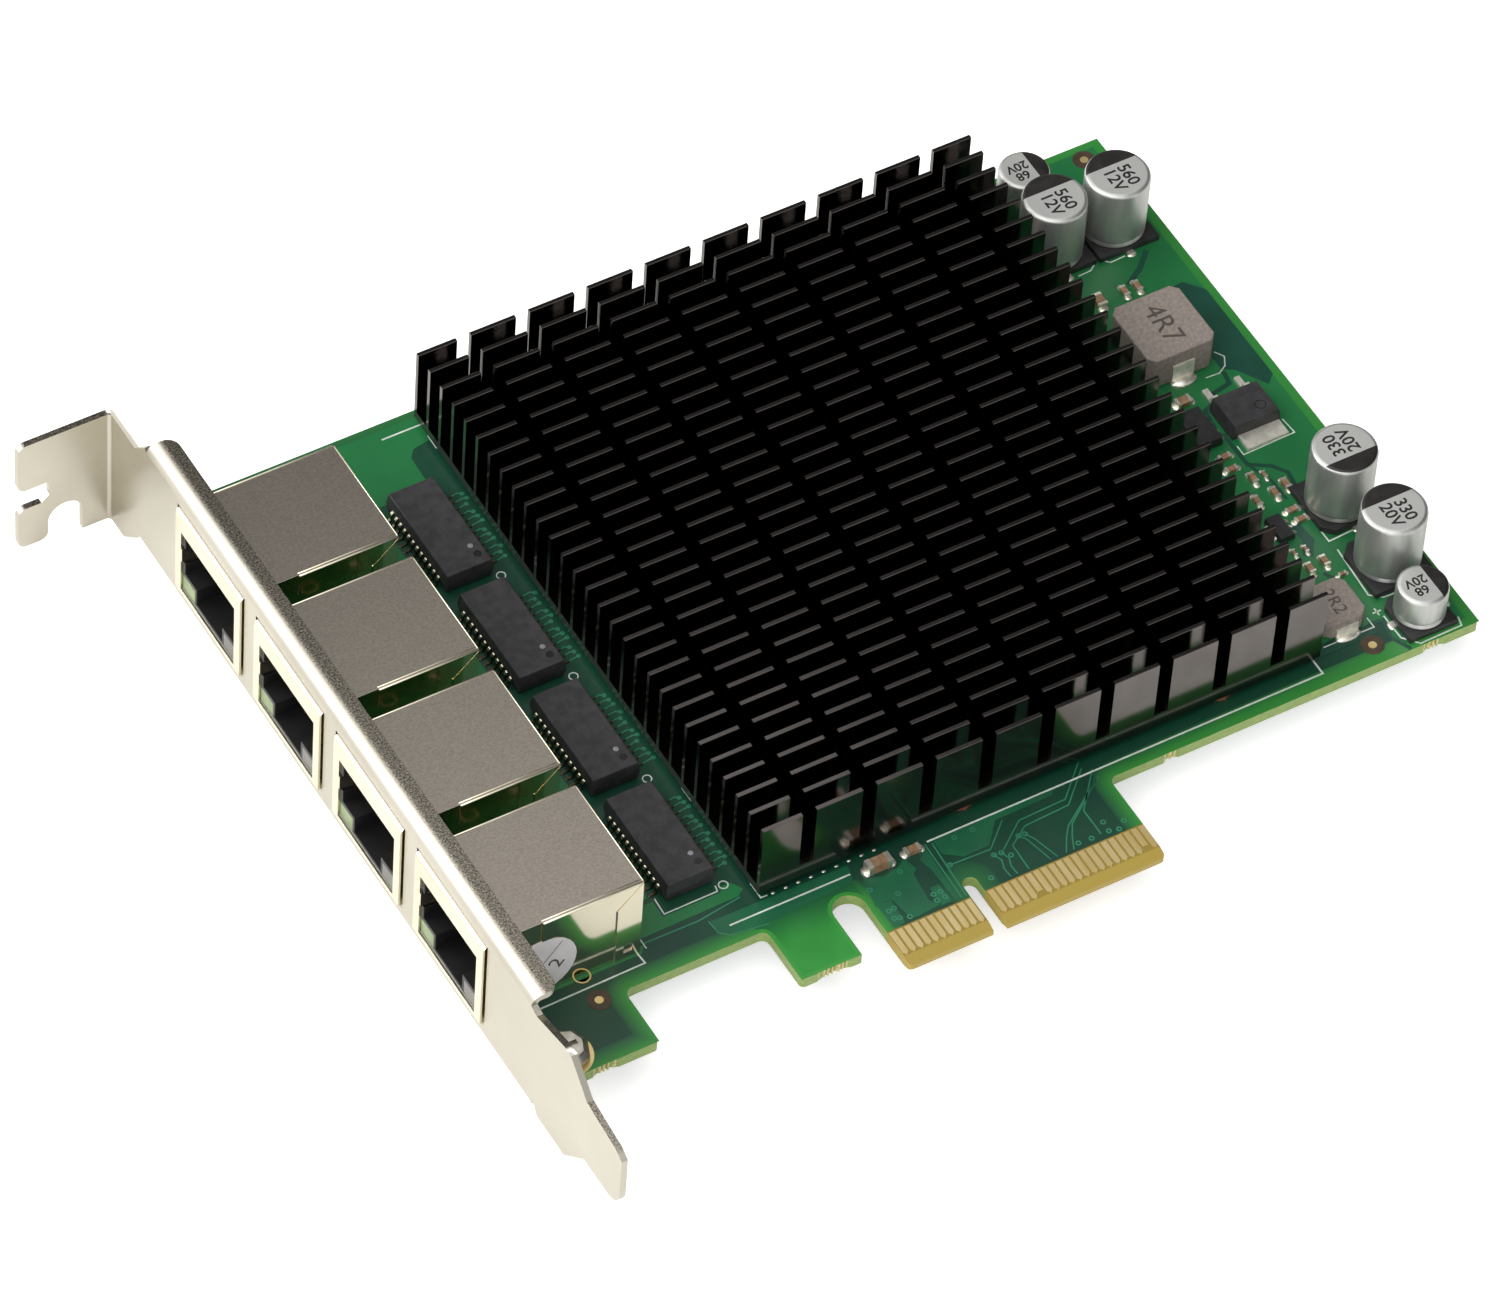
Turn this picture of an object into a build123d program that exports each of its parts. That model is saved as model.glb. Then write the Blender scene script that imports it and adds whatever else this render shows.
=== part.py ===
from build123d import *
import os

# A network interface card, in millimetres. X runs along the card away from its bracket, Y up the
# card from the contact fingers, Z out of the component face. The origin is the middle of the key
# notch, level with the finger tips, on the component face of the board.

os.makedirs("parts", exist_ok=True)

# Circuit board
BOARD_THICKNESS = 1.57
BOARD_FRONT_X = -56.5
BOARD_REAR_X = 72.4
BOARD_TOP_Y = 98.2
BOARD_REAR_BOTTOM_Y = 12.58
BOARD_CORNER_RADIUS = 0.6
INSIDE_CORNER_RADIUS = 1.0
FINGER_REAR_X = 21.9
FINGER_FRONT_X = -11.95
KEY_NOTCH_WIDTH = 1.9
KEY_NOTCH_TOP_Y = 7.75
GUIDE_NOTCH_FRONT_X = -16.04
GUIDE_NOTCH_TOP_Y = 12.0
TAB_FRONT_X = -23.87
TAB_BOTTOM_Y = 3.78
FOOT_REAR_X = -42.28
FOOT_BELOW_SCREW = 3.22
FOOT_NOTCH_TOP_Y = 11.81
BEVEL_LENGTH = 1.3
BEVEL_DEPTH = 0.4
SCALLOP_DEPTH = 0.45
TAB_SCALLOP_X_SPAN = (-21.8, -17.2)
FOOT_SCALLOP_X_SPAN = (-50.8, -47.4)
REAR_SCALLOP_X_SPANS = [(29.4, 31.4), (64.7, 67.8)]

# Sides given to small and to larger round pieces that repeat, and how far each cutter runs past
SMALL_ROUND_SIDES = 8
LARGE_ROUND_SIDES = 28
CUT_MARGIN = 1.0

# Contact pads
PAD_PITCH = 1.0
PAD_WIDTH = 0.7
PAD_THICKNESS = 0.05
PAD_TOP_Y = 4.95
PAD_TIP_Y = 1.4
PAD_POINT_LENGTH = 0.4
SHORT_PAD_TIP_Y = 2.2
FIRST_PAD_X = -11.5
FRONT_PAD_COUNT = 11
REAR_PAD_COUNT = 21
FIRST_REAR_PAD_X = 1.5
SHORT_PAD_XS = (6.5, 20.5)

# Bracket
SHEET = 0.8
PLATE_OUTER_X = -58.23
PLATE_BOTTOM_Z = -3.24
PLATE_TOP_Z = 15.18
FLANGE_BEND_RADIUS = 1.2
UPPER_FLANGE_X = -54.66
LOWER_FLANGE_X = -55.1
UPPER_FLANGE_BELOW_SCREW = 1.5
LOWER_FLANGE_BELOW_SCREW = 2.4
FLANGE_CORNER_RADIUS = 1.6
UPPER_SHOULDER_Y = 98.9
LOWER_SHOULDER_Y = 101.6
UPPER_SHOULDER_RUN = 2.8
LOWER_SHOULDER_RUN = 4.3
RELIEF_GAP = 0.5
RELIEF_STEP = 0.7
START_RELIEF_WIDTH = 1.2
START_RELIEF_DEPTH = 1.58
RUNOUT_LENGTH = 7.3
EDGE_NOTCH_WIDTH = 1.4
EDGE_NOTCH_DEPTH = 1.34
SCREW_TAB_UNDERSIDE_Y = 104.94
SCREW_TAB_BOTTOM_Z = -6.41
SCREW_TAB_TOP_Z = 12.01
SCREW_TAB_OUTER_X = -70.3
TAB_BEND_RADIUS = 0.5
SCREW_SLOT_FRONT_X = -66.35
SCREW_SLOT_REAR_X = -61.9
SCREW_SLOT_TOP_Z = -0.6
TAB_LOBE_BOTTOM_Z = -5.7
SIDE_SLOT_BOTTOM_Z = 1.0
SIDE_SLOT_TOP_Z = 4.2
SIDE_SLOT_END_X = -66.2
SIDE_SLOT_TAPER = 1.0
TAB_CORNER_RADIUS = 1.2
TOE_BELOW_SCREW = 14.2
TOE_LENGTH = 7.8
TOE_TOP_Z = 11.3
TOE_TAPER = 0.9
TOE_NICK = (1.4, 0.8)
TOE_CORNER_RADIUS = 2.6
TOE_BOTTOM_Z = 1.0
WINDOW_CLEARANCE = 0.3
EAR_REAR_X = -49.2
EAR_LENGTH = 6.2
EAR_CORNER_RADIUS = 1.2
BOSS_RADIUS = 2.5

# Bracket screws
SCREW_X = -52.6
LOWER_SCREW_BELOW_JACKS = 8.62
UPPER_SCREW_Y = 92.9
SCREW_HEAD_RADIUS = 2.9
SCREW_HEAD_HEIGHT = 1.7
SCREW_HEAD_BEVEL = 0.7
SCREW_SHANK_RADIUS = 1.25
SCREW_HOLE_RADIUS = 1.6
SCREW_END_BELOW_EAR = 1.2
RECESS_LENGTH = 3.0
RECESS_WIDTH = 0.6
RECESS_DEPTH = 0.9

# Jacks
JACK_COUNT = 4
JACK_PITCH = 18.96
FIRST_JACK_Y = 80.3
JACK_HALF_WIDTH = 7.8
JACK_FRONT_X = -58.65
JACK_REAR_X = -38.1
JACK_TOP_Z = 12.94
JACK_SKIRT_Z = -0.64
SHIELD_SHEET = 0.3
SKIRT_GAP = 0.1
FOLD_PROUD = 0.2
COLLAR_LENGTH = 1.1
FRONT_BEAD_RADIUS = 0.7
MOUTH_HALF_WIDTH = 6.45
MOUTH_BOTTOM_Z = -0.1
MOUTH_TOP_Z = 10.0
LIP_FRONT_X = -51.0
LIP_BOTTOM_Z = 9.65
FOLD_SEAM = 0.3
REAR_STRIP_FRONT_X = -41.3
LATCH_HOLE = (1.1, 1.3)
LATCH_HOLE_CENTRE_Z = 1.9
LEG_X = -45.45
LEG_WIDTH = 1.2
LEG_END_Z = -2.7
LEG_POINT_LENGTH = 0.4
LEG_HOLE_RADIUS = 0.95
FINGER_POCKET_GAP = 0.3
FINGER_BOTTOM_Z = 5.0
FINGER_TOP_Z = 7.0
FINGER_REACH = 2.4
FINGER_THICKNESS = 0.25
FINGER_BEND_IN = 0.35

# Jack insides
CAVITY_HALF_WIDTH = 5.9
CAVITY_BOTTOM_Z = 2.9
CAVITY_TOP_Z = 9.8
CAVITY_DEPTH = 13.0
LATCH_HALF_WIDTH = 3.1
LATCH_BOTTOM_Z = 0.4
WIRE_COUNT = 8
WIRE_PITCH = 1.02
WIRE_WIDTH = 0.4
WIRE_THICKNESS = 0.35
WIRE_FRONT_X = -57.2
WIRE_BEND_X = -56.2
WIRE_REAR_X = -48.4
WIRE_LOW_Z = 7.4
GUIDE_INNER_Y = 3.5
GUIDE_OUTER_Y = 6.4
GUIDE_BOTTOM_Z = 0.2
GUIDE_TOP_Z = 2.4
GUIDE_LENGTH = 15.0

# Transformer modules
MODULE_COUNT = 4
MODULE_PITCH = 17.1
MODULE_X = -28.8
FIRST_MODULE_Y = 27.7
MODULE_HALF_LENGTH = 7.3
MODULE_HALF_WIDTH = 3.15
MODULE_TOP_Z = 2.9
MODULE_STANDOFF = 0.15
MODULE_BAND_BOTTOM_Z = 1.25
MODULE_BAND_TOP_Z = 1.55
MODULE_DRAFT = 9
MODULE_LEAD_COUNT = 12
MODULE_LEAD_PITCH = 1.0
MODULE_LEAD_WIDTH = 0.42
MODULE_LEAD_REACH = 1.3
LEAD_SHEET = 0.2

# Chips under the heat sink
CHIP_TOP_Z = 0.85
CHIP_STANDOFF = 0.1
CONTROLLER_X = 15.0
CONTROLLER_Y = 56.3
CONTROLLER_SIDE = 17.0
LINE_CHIP_FRONT_X = -20.8
LINE_CHIP_WIDTH = 12.0
LINE_CHIP_LENGTH = 13.0
FIRST_LINE_CHIP_Y = 26.67
LINE_LEAD_PITCH = 1.01
LINE_LEAD_REACH = 0.9
LINE_LEAD_HEIGHT = 0.5

# Heat sink
SINK_FRONT_X = -22.5
SINK_REAR_X = 52.5
SINK_BOTTOM_Y = 16.0
SINK_BASE_BOTTOM_Z = 1.0
SINK_BASE_TOP_Z = 2.2
SINK_TOP_Z = 12.2
FIN_COUNT = 29
FIN_PITCH = 2.86
FIN_THICKNESS = 0.55
CROSS_SLOT_COUNT = 9
CROSS_SLOT_PITCH = 7.85
FIRST_CROSS_SLOT_X = -17.35
CROSS_SLOT_WIDTH = 1.85
CROSS_SLOT_BOTTOM_Z = 3.2
SINK_SCREW_XS = (5.0, 39.8)
SINK_SCREW_YS = (18.7, 94.0)
SINK_SCREW_HOLE_RADIUS = 1.4
SINK_SCREW_RADIUS = 1.2
SINK_SCREW_DEPTH = 0.8
SPACER_RADIUS = 2.5
SINK_SCREW_HEAD_RADIUS = 2.3
SINK_SCREW_HEAD_HEIGHT = 1.3

# Can capacitors: centre x and y, diameter, height
CAPACITORS = [(66.3, 84.8, 8.0, 10.0), (57.6, 84.9, 8.0, 10.0), (59.0, 93.7, 6.3, 5.6),
              (67.3, 35.6, 8.0, 10.0), (67.5, 25.1, 8.0, 10.0), (66.6, 16.7, 6.3, 5.6)]
CAN_BASE_HEIGHT = 0.9
CAN_BASE_MARGIN = 0.15
CAN_BASE_CHAMFER = 0.16
CAN_GROOVE_DEPTH = 0.35
CAN_GROOVE_HALF_WIDTH = 0.5

# Power parts: x span, y span, top
INDUCTOR_1 = (56.6, 65.9, 60.6, 70.3, 5.0)
INDUCTOR_2 = (54.7, 60.5, 18.2, 24.5, 2.5)
INDUCTOR_STANDOFF = 0.1
INDUCTOR_CORNER = 0.9
TERMINAL_WIDTH = 3.0
TERMINAL_PROUD = 0.25
TERMINAL_RISE_SHARE = 0.6
TERMINAL_FOOT = 1.8
SWITCH = (61.4, 68.0, 49.5, 54.6, 2.3)
SWITCH_TAB = (62.2, 67.9, 47.2, 52.0)
SWITCH_TAB_THICKNESS = 0.5
SWITCH_LEAD_XS = (62.6, 67.0)
SWITCH_LEAD_WIDTH = 0.8
SWITCH_LEAD_REACH = 3.0
SWITCH_LEAD_TOP_Z = 1.3
SWITCH_LEAD_SHEET = 0.4
SWITCH_LEAD_HEEL = 1.0
SWITCH_PARTING_Z = 1.2
SWITCH_DRAFT = 0.25
REGULATOR = (56.7, 60.1, 49.5, 55.0, 1.5)
DRIVER = (57.9, 60.0, 33.2, 36.8, 1.0)
SMALL_LEAD_WIDTH = 0.4
SMALL_LEAD_REACH = 0.8
REGULATOR_LEAD_PITCH = 1.27
DRIVER_LEAD_PITCH = 0.95
SMALL_CHIP_DRAFT = 0.15
SMALL_CHIP_PARTING_SHARE = 0.55

# Small chip parts: centre x and y, length, width, height, and whether the length lies along X
CHIPS = [(-8.1, 13.7, 3.1, 1.4, 1.4, True), (-3.5, 13.9, 2.0, 1.1, 0.6, True),
         (60.3, 43.1, 1.6, 0.8, 0.8, False), (61.9, 43.1, 1.0, 0.5, 0.5, False),
         (63.3, 40.6, 1.6, 0.8, 0.8, False), (61.5, 40.1, 1.6, 0.8, 0.6, False),
         (59.0, 40.0, 1.6, 0.8, 0.5, False), (61.9, 37.0, 1.6, 0.8, 0.5, True),
         (62.1, 35.3, 1.6, 0.8, 0.5, True), (58.6, 31.2, 1.0, 0.5, 0.5, False),
         (60.1, 31.1, 1.0, 0.5, 0.5, False), (61.0, 28.4, 1.6, 0.8, 0.8, False),
         (58.9, 28.2, 1.6, 0.8, 0.8, False), (61.9, 25.9, 1.0, 0.5, 0.5, True),
         (59.2, 47.6, 1.6, 0.8, 0.5, True), (58.9, 45.6, 1.6, 0.8, 0.5, True),
         (64.1, 75.3, 1.6, 0.8, 0.6, False), (62.3, 75.3, 1.6, 0.8, 0.6, False),
         (58.7, 75.2, 2.0, 1.25, 1.0, False), (59.3, 57.1, 2.0, 1.25, 0.8, True)]

# Sticker on the side of the lowest jack
STICKER_X = -51.0
STICKER_BELOW_LIP = 0.05
STICKER_RADIUS = 4.65
STICKER_THICKNESS = 0.08

JACK_YS = [FIRST_JACK_Y - JACK_PITCH * k for k in range(JACK_COUNT)]
LOWER_SCREW_Y = JACK_YS[-1] - JACK_HALF_WIDTH - LOWER_SCREW_BELOW_JACKS
SCREW_YS = (LOWER_SCREW_Y, UPPER_SCREW_Y)
FOOT_BOTTOM_Y = LOWER_SCREW_Y - FOOT_BELOW_SCREW
UPPER_FLANGE_START_Y = LOWER_SCREW_Y - UPPER_FLANGE_BELOW_SCREW
LOWER_FLANGE_START_Y = LOWER_SCREW_Y - LOWER_FLANGE_BELOW_SCREW
TOE_SHOULDER_Y = LOWER_SCREW_Y - TOE_BELOW_SCREW
TOE_END_Y = TOE_SHOULDER_Y - TOE_LENGTH
SCALLOPS = [(TAB_SCALLOP_X_SPAN, TAB_BOTTOM_Y), (FOOT_SCALLOP_X_SPAN, FOOT_BOTTOM_Y)]
SCALLOPS += [(x_span, BOARD_REAR_BOTTOM_Y) for x_span in REAR_SCALLOP_X_SPANS]
MODULE_YS = [FIRST_MODULE_Y + MODULE_PITCH * k for k in range(MODULE_COUNT)]
LINE_CHIP_YS = [FIRST_LINE_CHIP_Y + MODULE_PITCH * k for k in range(MODULE_COUNT)]
SIDE_WALL = JACK_HALF_WIDTH - FOLD_PROUD
UPPER_FLANGE_SPAN = (UPPER_FLANGE_START_Y, UPPER_SHOULDER_Y - UPPER_SHOULDER_RUN)
LOWER_FLANGE_SPAN = (LOWER_FLANGE_START_Y, LOWER_SHOULDER_Y - LOWER_SHOULDER_RUN)
PLATE_INNER_X = PLATE_OUTER_X + SHEET


def block(x_span, y_span, z_span):
    """A box between two limits on each axis."""
    size = [high - low for low, high in (x_span, y_span, z_span)]
    middle = [(low + high) / 2 for low, high in (x_span, y_span, z_span)]
    return Pos(*middle) * Box(*size)


def upright(points, z_span):
    """A prism of an XY outline."""
    outline = make_face(Polyline(*points, close=True))
    return Pos(0, 0, z_span[0]) * extrude(outline, z_span[1] - z_span[0], dir=(0, 0, 1))


def along_y(points, y_span):
    """A prism whose XZ outline runs along Y."""
    wire = Polyline(*[(x, y_span[0], z) for x, z in points], close=True)
    return extrude(make_face(wire), y_span[1] - y_span[0], dir=(0, 1, 0))


def along_x(points, x_span):
    """A prism whose YZ outline runs along X."""
    wire = Polyline(*[(x_span[0], y, z) for y, z in points], close=True)
    return extrude(make_face(wire), x_span[1] - x_span[0], dir=(1, 0, 0))


def rod(x, y, radius, z_span):
    """A round rod along Z."""
    height = z_span[1] - z_span[0]
    return Pos(x, y, z_span[0] + height / 2) * Cylinder(radius, height)


def small_rod(x, y, radius, z_span):
    """A small rod or hole along Z, with few sides because there are many of them."""
    outline = RegularPolygon(radius, SMALL_ROUND_SIDES)
    return Pos(x, y, z_span[0]) * extrude(outline, z_span[1] - z_span[0], dir=(0, 0, 1))


def round_slot(x_span, y_span, z_span):
    """A slot cutter along Y with a round upper end."""
    radius = (x_span[1] - x_span[0]) / 2
    centre_y = y_span[1] - radius
    body = block(x_span, (y_span[0], centre_y), z_span)
    return body + rod(x_span[0] + radius, centre_y, radius, z_span)


def save(name, shape):
    """Write one sub-part; a list of solids becomes one group."""
    if isinstance(shape, list):
        shape = Compound(children=shape)
    shape.label = name
    export_step(shape, "parts/" + name + ".step")


def circuit_board():
    """Laminate outline with its notches, bevelled finger tips, scallops and drilled holes."""
    outline = [(BOARD_FRONT_X, BOARD_TOP_Y), (BOARD_REAR_X, BOARD_TOP_Y),
               (BOARD_REAR_X, BOARD_REAR_BOTTOM_Y), (FINGER_REAR_X, BOARD_REAR_BOTTOM_Y),
               (FINGER_REAR_X, 0), (FINGER_FRONT_X, 0), (FINGER_FRONT_X, TAB_BOTTOM_Y),
               (TAB_FRONT_X, TAB_BOTTOM_Y), (TAB_FRONT_X, FOOT_NOTCH_TOP_Y),
               (FOOT_REAR_X, FOOT_NOTCH_TOP_Y), (FOOT_REAR_X, FOOT_BOTTOM_Y),
               (BOARD_FRONT_X, FOOT_BOTTOM_Y)]
    face = make_face(Polyline(*outline, close=True))
    inside = [(FINGER_REAR_X, BOARD_REAR_BOTTOM_Y), (TAB_FRONT_X, FOOT_NOTCH_TOP_Y),
              (FOOT_REAR_X, FOOT_NOTCH_TOP_Y)]
    outside = [(BOARD_REAR_X, BOARD_TOP_Y), (BOARD_REAR_X, BOARD_REAR_BOTTOM_Y),
               (FOOT_REAR_X, FOOT_BOTTOM_Y), (TAB_FRONT_X, TAB_BOTTOM_Y),
               (BOARD_FRONT_X, BOARD_TOP_Y), (FINGER_REAR_X, 0), (FINGER_FRONT_X, 0)]
    wall = FOOT_NOTCH_TOP_Y - max(FOOT_BOTTOM_Y, TAB_BOTTOM_Y) - BOARD_CORNER_RADIUS
    inside_radius = min(INSIDE_CORNER_RADIUS, wall / 2)
    face = fillet([nearest_vertex(face, point) for point in inside], inside_radius)
    face = fillet([nearest_vertex(face, point) for point in outside], BOARD_CORNER_RADIUS)
    board = extrude(face, BOARD_THICKNESS, dir=(0, 0, -1))
    through = (-BOARD_THICKNESS - CUT_MARGIN, CUT_MARGIN)
    half_key = KEY_NOTCH_WIDTH / 2
    board -= round_slot((-half_key, half_key), (-CUT_MARGIN, KEY_NOTCH_TOP_Y), through)
    guide_x = (GUIDE_NOTCH_FRONT_X, FINGER_FRONT_X)
    board -= round_slot(guide_x, (-CUT_MARGIN, GUIDE_NOTCH_TOP_Y), through)
    for face_z, inward in ((0, -1), (-BOARD_THICKNESS, 1)):
        outside_z = face_z - inward * CUT_MARGIN
        slope_z = face_z + inward * BEVEL_DEPTH
        bevel = [(-CUT_MARGIN, outside_z), (BEVEL_LENGTH, outside_z), (BEVEL_LENGTH, face_z),
                 (0, slope_z), (-CUT_MARGIN, slope_z)]
        board -= along_x(bevel, (FINGER_FRONT_X - CUT_MARGIN, FINGER_REAR_X + CUT_MARGIN))
    for (start_x, end_x), edge_y in SCALLOPS:
        half = (end_x - start_x) / 2
        radius = (half ** 2 + SCALLOP_DEPTH ** 2) / (2 * SCALLOP_DEPTH)
        board -= rod(start_x + half, edge_y + SCALLOP_DEPTH - radius, radius, through)
    for jack_y in JACK_YS:
        for side in (-1, 1):
            board -= small_rod(LEG_X, jack_y + side * SIDE_WALL, LEG_HOLE_RADIUS, through)
    for screw_y in SCREW_YS:
        board -= small_rod(SCREW_X, screw_y, SCREW_HOLE_RADIUS, through)
    for screw_x in SINK_SCREW_XS:
        for screw_y in SINK_SCREW_YS:
            board -= small_rod(screw_x, screw_y, SINK_SCREW_HOLE_RADIUS, through)
    return board


def nearest_vertex(shape, point):
    """The corner of a flat outline that lies closest to an XY point."""
    target = Vector(point[0], point[1], 0)
    return min(shape.vertices(), key=lambda corner: (Vector(corner) - target).length)


def edge_contacts():
    """Thin gold pads: pointed on the component face, two of them short, and square behind."""
    front = [FIRST_PAD_X + PAD_PITCH * k for k in range(FRONT_PAD_COUNT)]
    rear = [FIRST_REAR_PAD_X + PAD_PITCH * k for k in range(REAR_PAD_COUNT)]
    pads = []
    for centre_x in front + rear:
        left, right = centre_x - PAD_WIDTH / 2, centre_x + PAD_WIDTH / 2
        if centre_x in SHORT_PAD_XS:
            tip = [(right, SHORT_PAD_TIP_Y), (left, SHORT_PAD_TIP_Y)]
        else:
            shoulder_y = PAD_TIP_Y + PAD_POINT_LENGTH
            tip = [(right, shoulder_y), (centre_x, PAD_TIP_Y), (left, shoulder_y)]
        outline = [(left, PAD_TOP_Y), (right, PAD_TOP_Y)] + tip
        pads.append(upright(outline, (0, PAD_THICKNESS)))
        plain = [(left, PAD_TOP_Y), (right, PAD_TOP_Y), (right, SHORT_PAD_TIP_Y), (left, SHORT_PAD_TIP_Y)]
        pads.append(upright(plain, (-BOARD_THICKNESS - PAD_THICKNESS, -BOARD_THICKNESS)))
    return pads


def bracket_plate():
    """Flat outline of the plate, with its shoulders, bend reliefs and toe."""
    upper_tangent = PLATE_TOP_Z - FLANGE_BEND_RADIUS
    lower_tangent = PLATE_BOTTOM_Z + FLANGE_BEND_RADIUS
    upper_start, upper_end = UPPER_FLANGE_SPAN
    lower_start, lower_end = LOWER_FLANGE_SPAN
    tab_top = SCREW_TAB_UNDERSIDE_Y + SHEET
    toe_end_top = TOE_TOP_Z - TOE_TAPER
    outline = [(tab_top, SCREW_TAB_TOP_Z), (UPPER_SHOULDER_Y, SCREW_TAB_TOP_Z),
               (upper_end + RELIEF_GAP, PLATE_TOP_Z - RELIEF_STEP), (upper_end, upper_tangent),
               (upper_start, upper_tangent),
               (upper_start - START_RELIEF_WIDTH, PLATE_TOP_Z - START_RELIEF_DEPTH),
               (upper_start - RUNOUT_LENGTH, PLATE_TOP_Z),
               (TOE_SHOULDER_Y + PLATE_TOP_Z - TOE_TOP_Z, PLATE_TOP_Z), (TOE_SHOULDER_Y, TOE_TOP_Z),
               (TOE_END_Y + TOE_NICK[0], toe_end_top), (TOE_END_Y, toe_end_top - TOE_NICK[1]),
               (TOE_END_Y, TOE_BOTTOM_Z), (TOE_SHOULDER_Y, TOE_BOTTOM_Z),
               (TOE_SHOULDER_Y + TOE_BOTTOM_Z - PLATE_BOTTOM_Z, PLATE_BOTTOM_Z),
               (lower_start - EDGE_NOTCH_WIDTH, PLATE_BOTTOM_Z),
               (lower_start - EDGE_NOTCH_WIDTH / 2, PLATE_BOTTOM_Z + EDGE_NOTCH_DEPTH),
               (lower_start, lower_tangent), (lower_end, lower_tangent),
               (lower_end + RELIEF_GAP, PLATE_BOTTOM_Z + RELIEF_STEP),
               (lower_end + 2 * RELIEF_GAP, PLATE_BOTTOM_Z),
               (LOWER_SHOULDER_Y, SCREW_TAB_BOTTOM_Z), (tab_top, SCREW_TAB_BOTTOM_Z)]
    plate = along_x(outline, (PLATE_OUTER_X - CUT_MARGIN, PLATE_INNER_X + TAB_BEND_RADIUS + CUT_MARGIN))
    return fillet(edges_along(plate, Axis.X, (TOE_END_Y, TOE_BOTTOM_Z)), TOE_CORNER_RADIUS)


def bent_sheet():
    """Side view of plate and screw tab as one bent sheet, wider than both."""
    bend_z = (SCREW_TAB_BOTTOM_Z - CUT_MARGIN, PLATE_TOP_Z + CUT_MARGIN)
    tab_top = SCREW_TAB_UNDERSIDE_Y + SHEET
    outline = [(SCREW_TAB_OUTER_X, SCREW_TAB_UNDERSIDE_Y), (SCREW_TAB_OUTER_X, tab_top),
               (PLATE_INNER_X, tab_top), (PLATE_INNER_X, TOE_END_Y - CUT_MARGIN),
               (PLATE_OUTER_X, TOE_END_Y - CUT_MARGIN), (PLATE_OUTER_X, SCREW_TAB_UNDERSIDE_Y)]
    face = make_face(Polyline(*outline, close=True))
    inner = nearest_vertex(face, (PLATE_OUTER_X, SCREW_TAB_UNDERSIDE_Y))
    face = fillet([inner], TAB_BEND_RADIUS)
    outer = nearest_vertex(face, (PLATE_INNER_X, tab_top))
    face = fillet([outer], TAB_BEND_RADIUS + SHEET)
    return Pos(0, 0, bend_z[0]) * extrude(face, bend_z[1] - bend_z[0], dir=(0, 0, 1))


def screw_tab_outline():
    """Prism of the screw tab seen from above: rounded lobes, side slot and screw slot."""
    keep_x = PLATE_OUTER_X - CUT_MARGIN
    y_span = (SCREW_TAB_UNDERSIDE_Y - CUT_MARGIN, SCREW_TAB_UNDERSIDE_Y + SHEET + CUT_MARGIN)
    radius = (SCREW_SLOT_REAR_X - SCREW_SLOT_FRONT_X) / 2
    slot_centre_z = SCREW_SLOT_TOP_Z - radius
    outline = [(keep_x, SCREW_TAB_TOP_Z), (SCREW_TAB_OUTER_X, SCREW_TAB_TOP_Z),
               (SCREW_TAB_OUTER_X, SIDE_SLOT_TOP_Z), (SIDE_SLOT_END_X, SIDE_SLOT_TOP_Z),
               (SIDE_SLOT_END_X, SIDE_SLOT_BOTTOM_Z + SIDE_SLOT_TAPER),
               (SIDE_SLOT_END_X - SIDE_SLOT_TAPER, SIDE_SLOT_BOTTOM_Z),
               (SCREW_TAB_OUTER_X, SIDE_SLOT_BOTTOM_Z), (SCREW_TAB_OUTER_X, TAB_LOBE_BOTTOM_Z),
               (SCREW_SLOT_FRONT_X, TAB_LOBE_BOTTOM_Z), (SCREW_SLOT_FRONT_X, slot_centre_z),
               (SCREW_SLOT_REAR_X, slot_centre_z), (SCREW_SLOT_REAR_X, SCREW_TAB_BOTTOM_Z),
               (keep_x, SCREW_TAB_BOTTOM_Z)]
    prism = along_y(outline, y_span)
    rounded = [(SCREW_TAB_OUTER_X, SCREW_TAB_TOP_Z), (SCREW_TAB_OUTER_X, SIDE_SLOT_TOP_Z),
               (SCREW_TAB_OUTER_X, SIDE_SLOT_BOTTOM_Z), (SCREW_TAB_OUTER_X, TAB_LOBE_BOTTOM_Z),
               (SCREW_SLOT_FRONT_X, TAB_LOBE_BOTTOM_Z)]
    edges = edges_along(prism, Axis.Y, *rounded)
    prism = fillet(edges, TAB_CORNER_RADIUS)
    slot_x = (SCREW_SLOT_REAR_X + SCREW_SLOT_FRONT_X) / 2
    round_end = Cylinder(radius, 2 * (y_span[1] - y_span[0]))
    return prism - Pos(slot_x, sum(y_span) / 2, slot_centre_z) * Rot(90, 0, 0) * round_end


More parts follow.
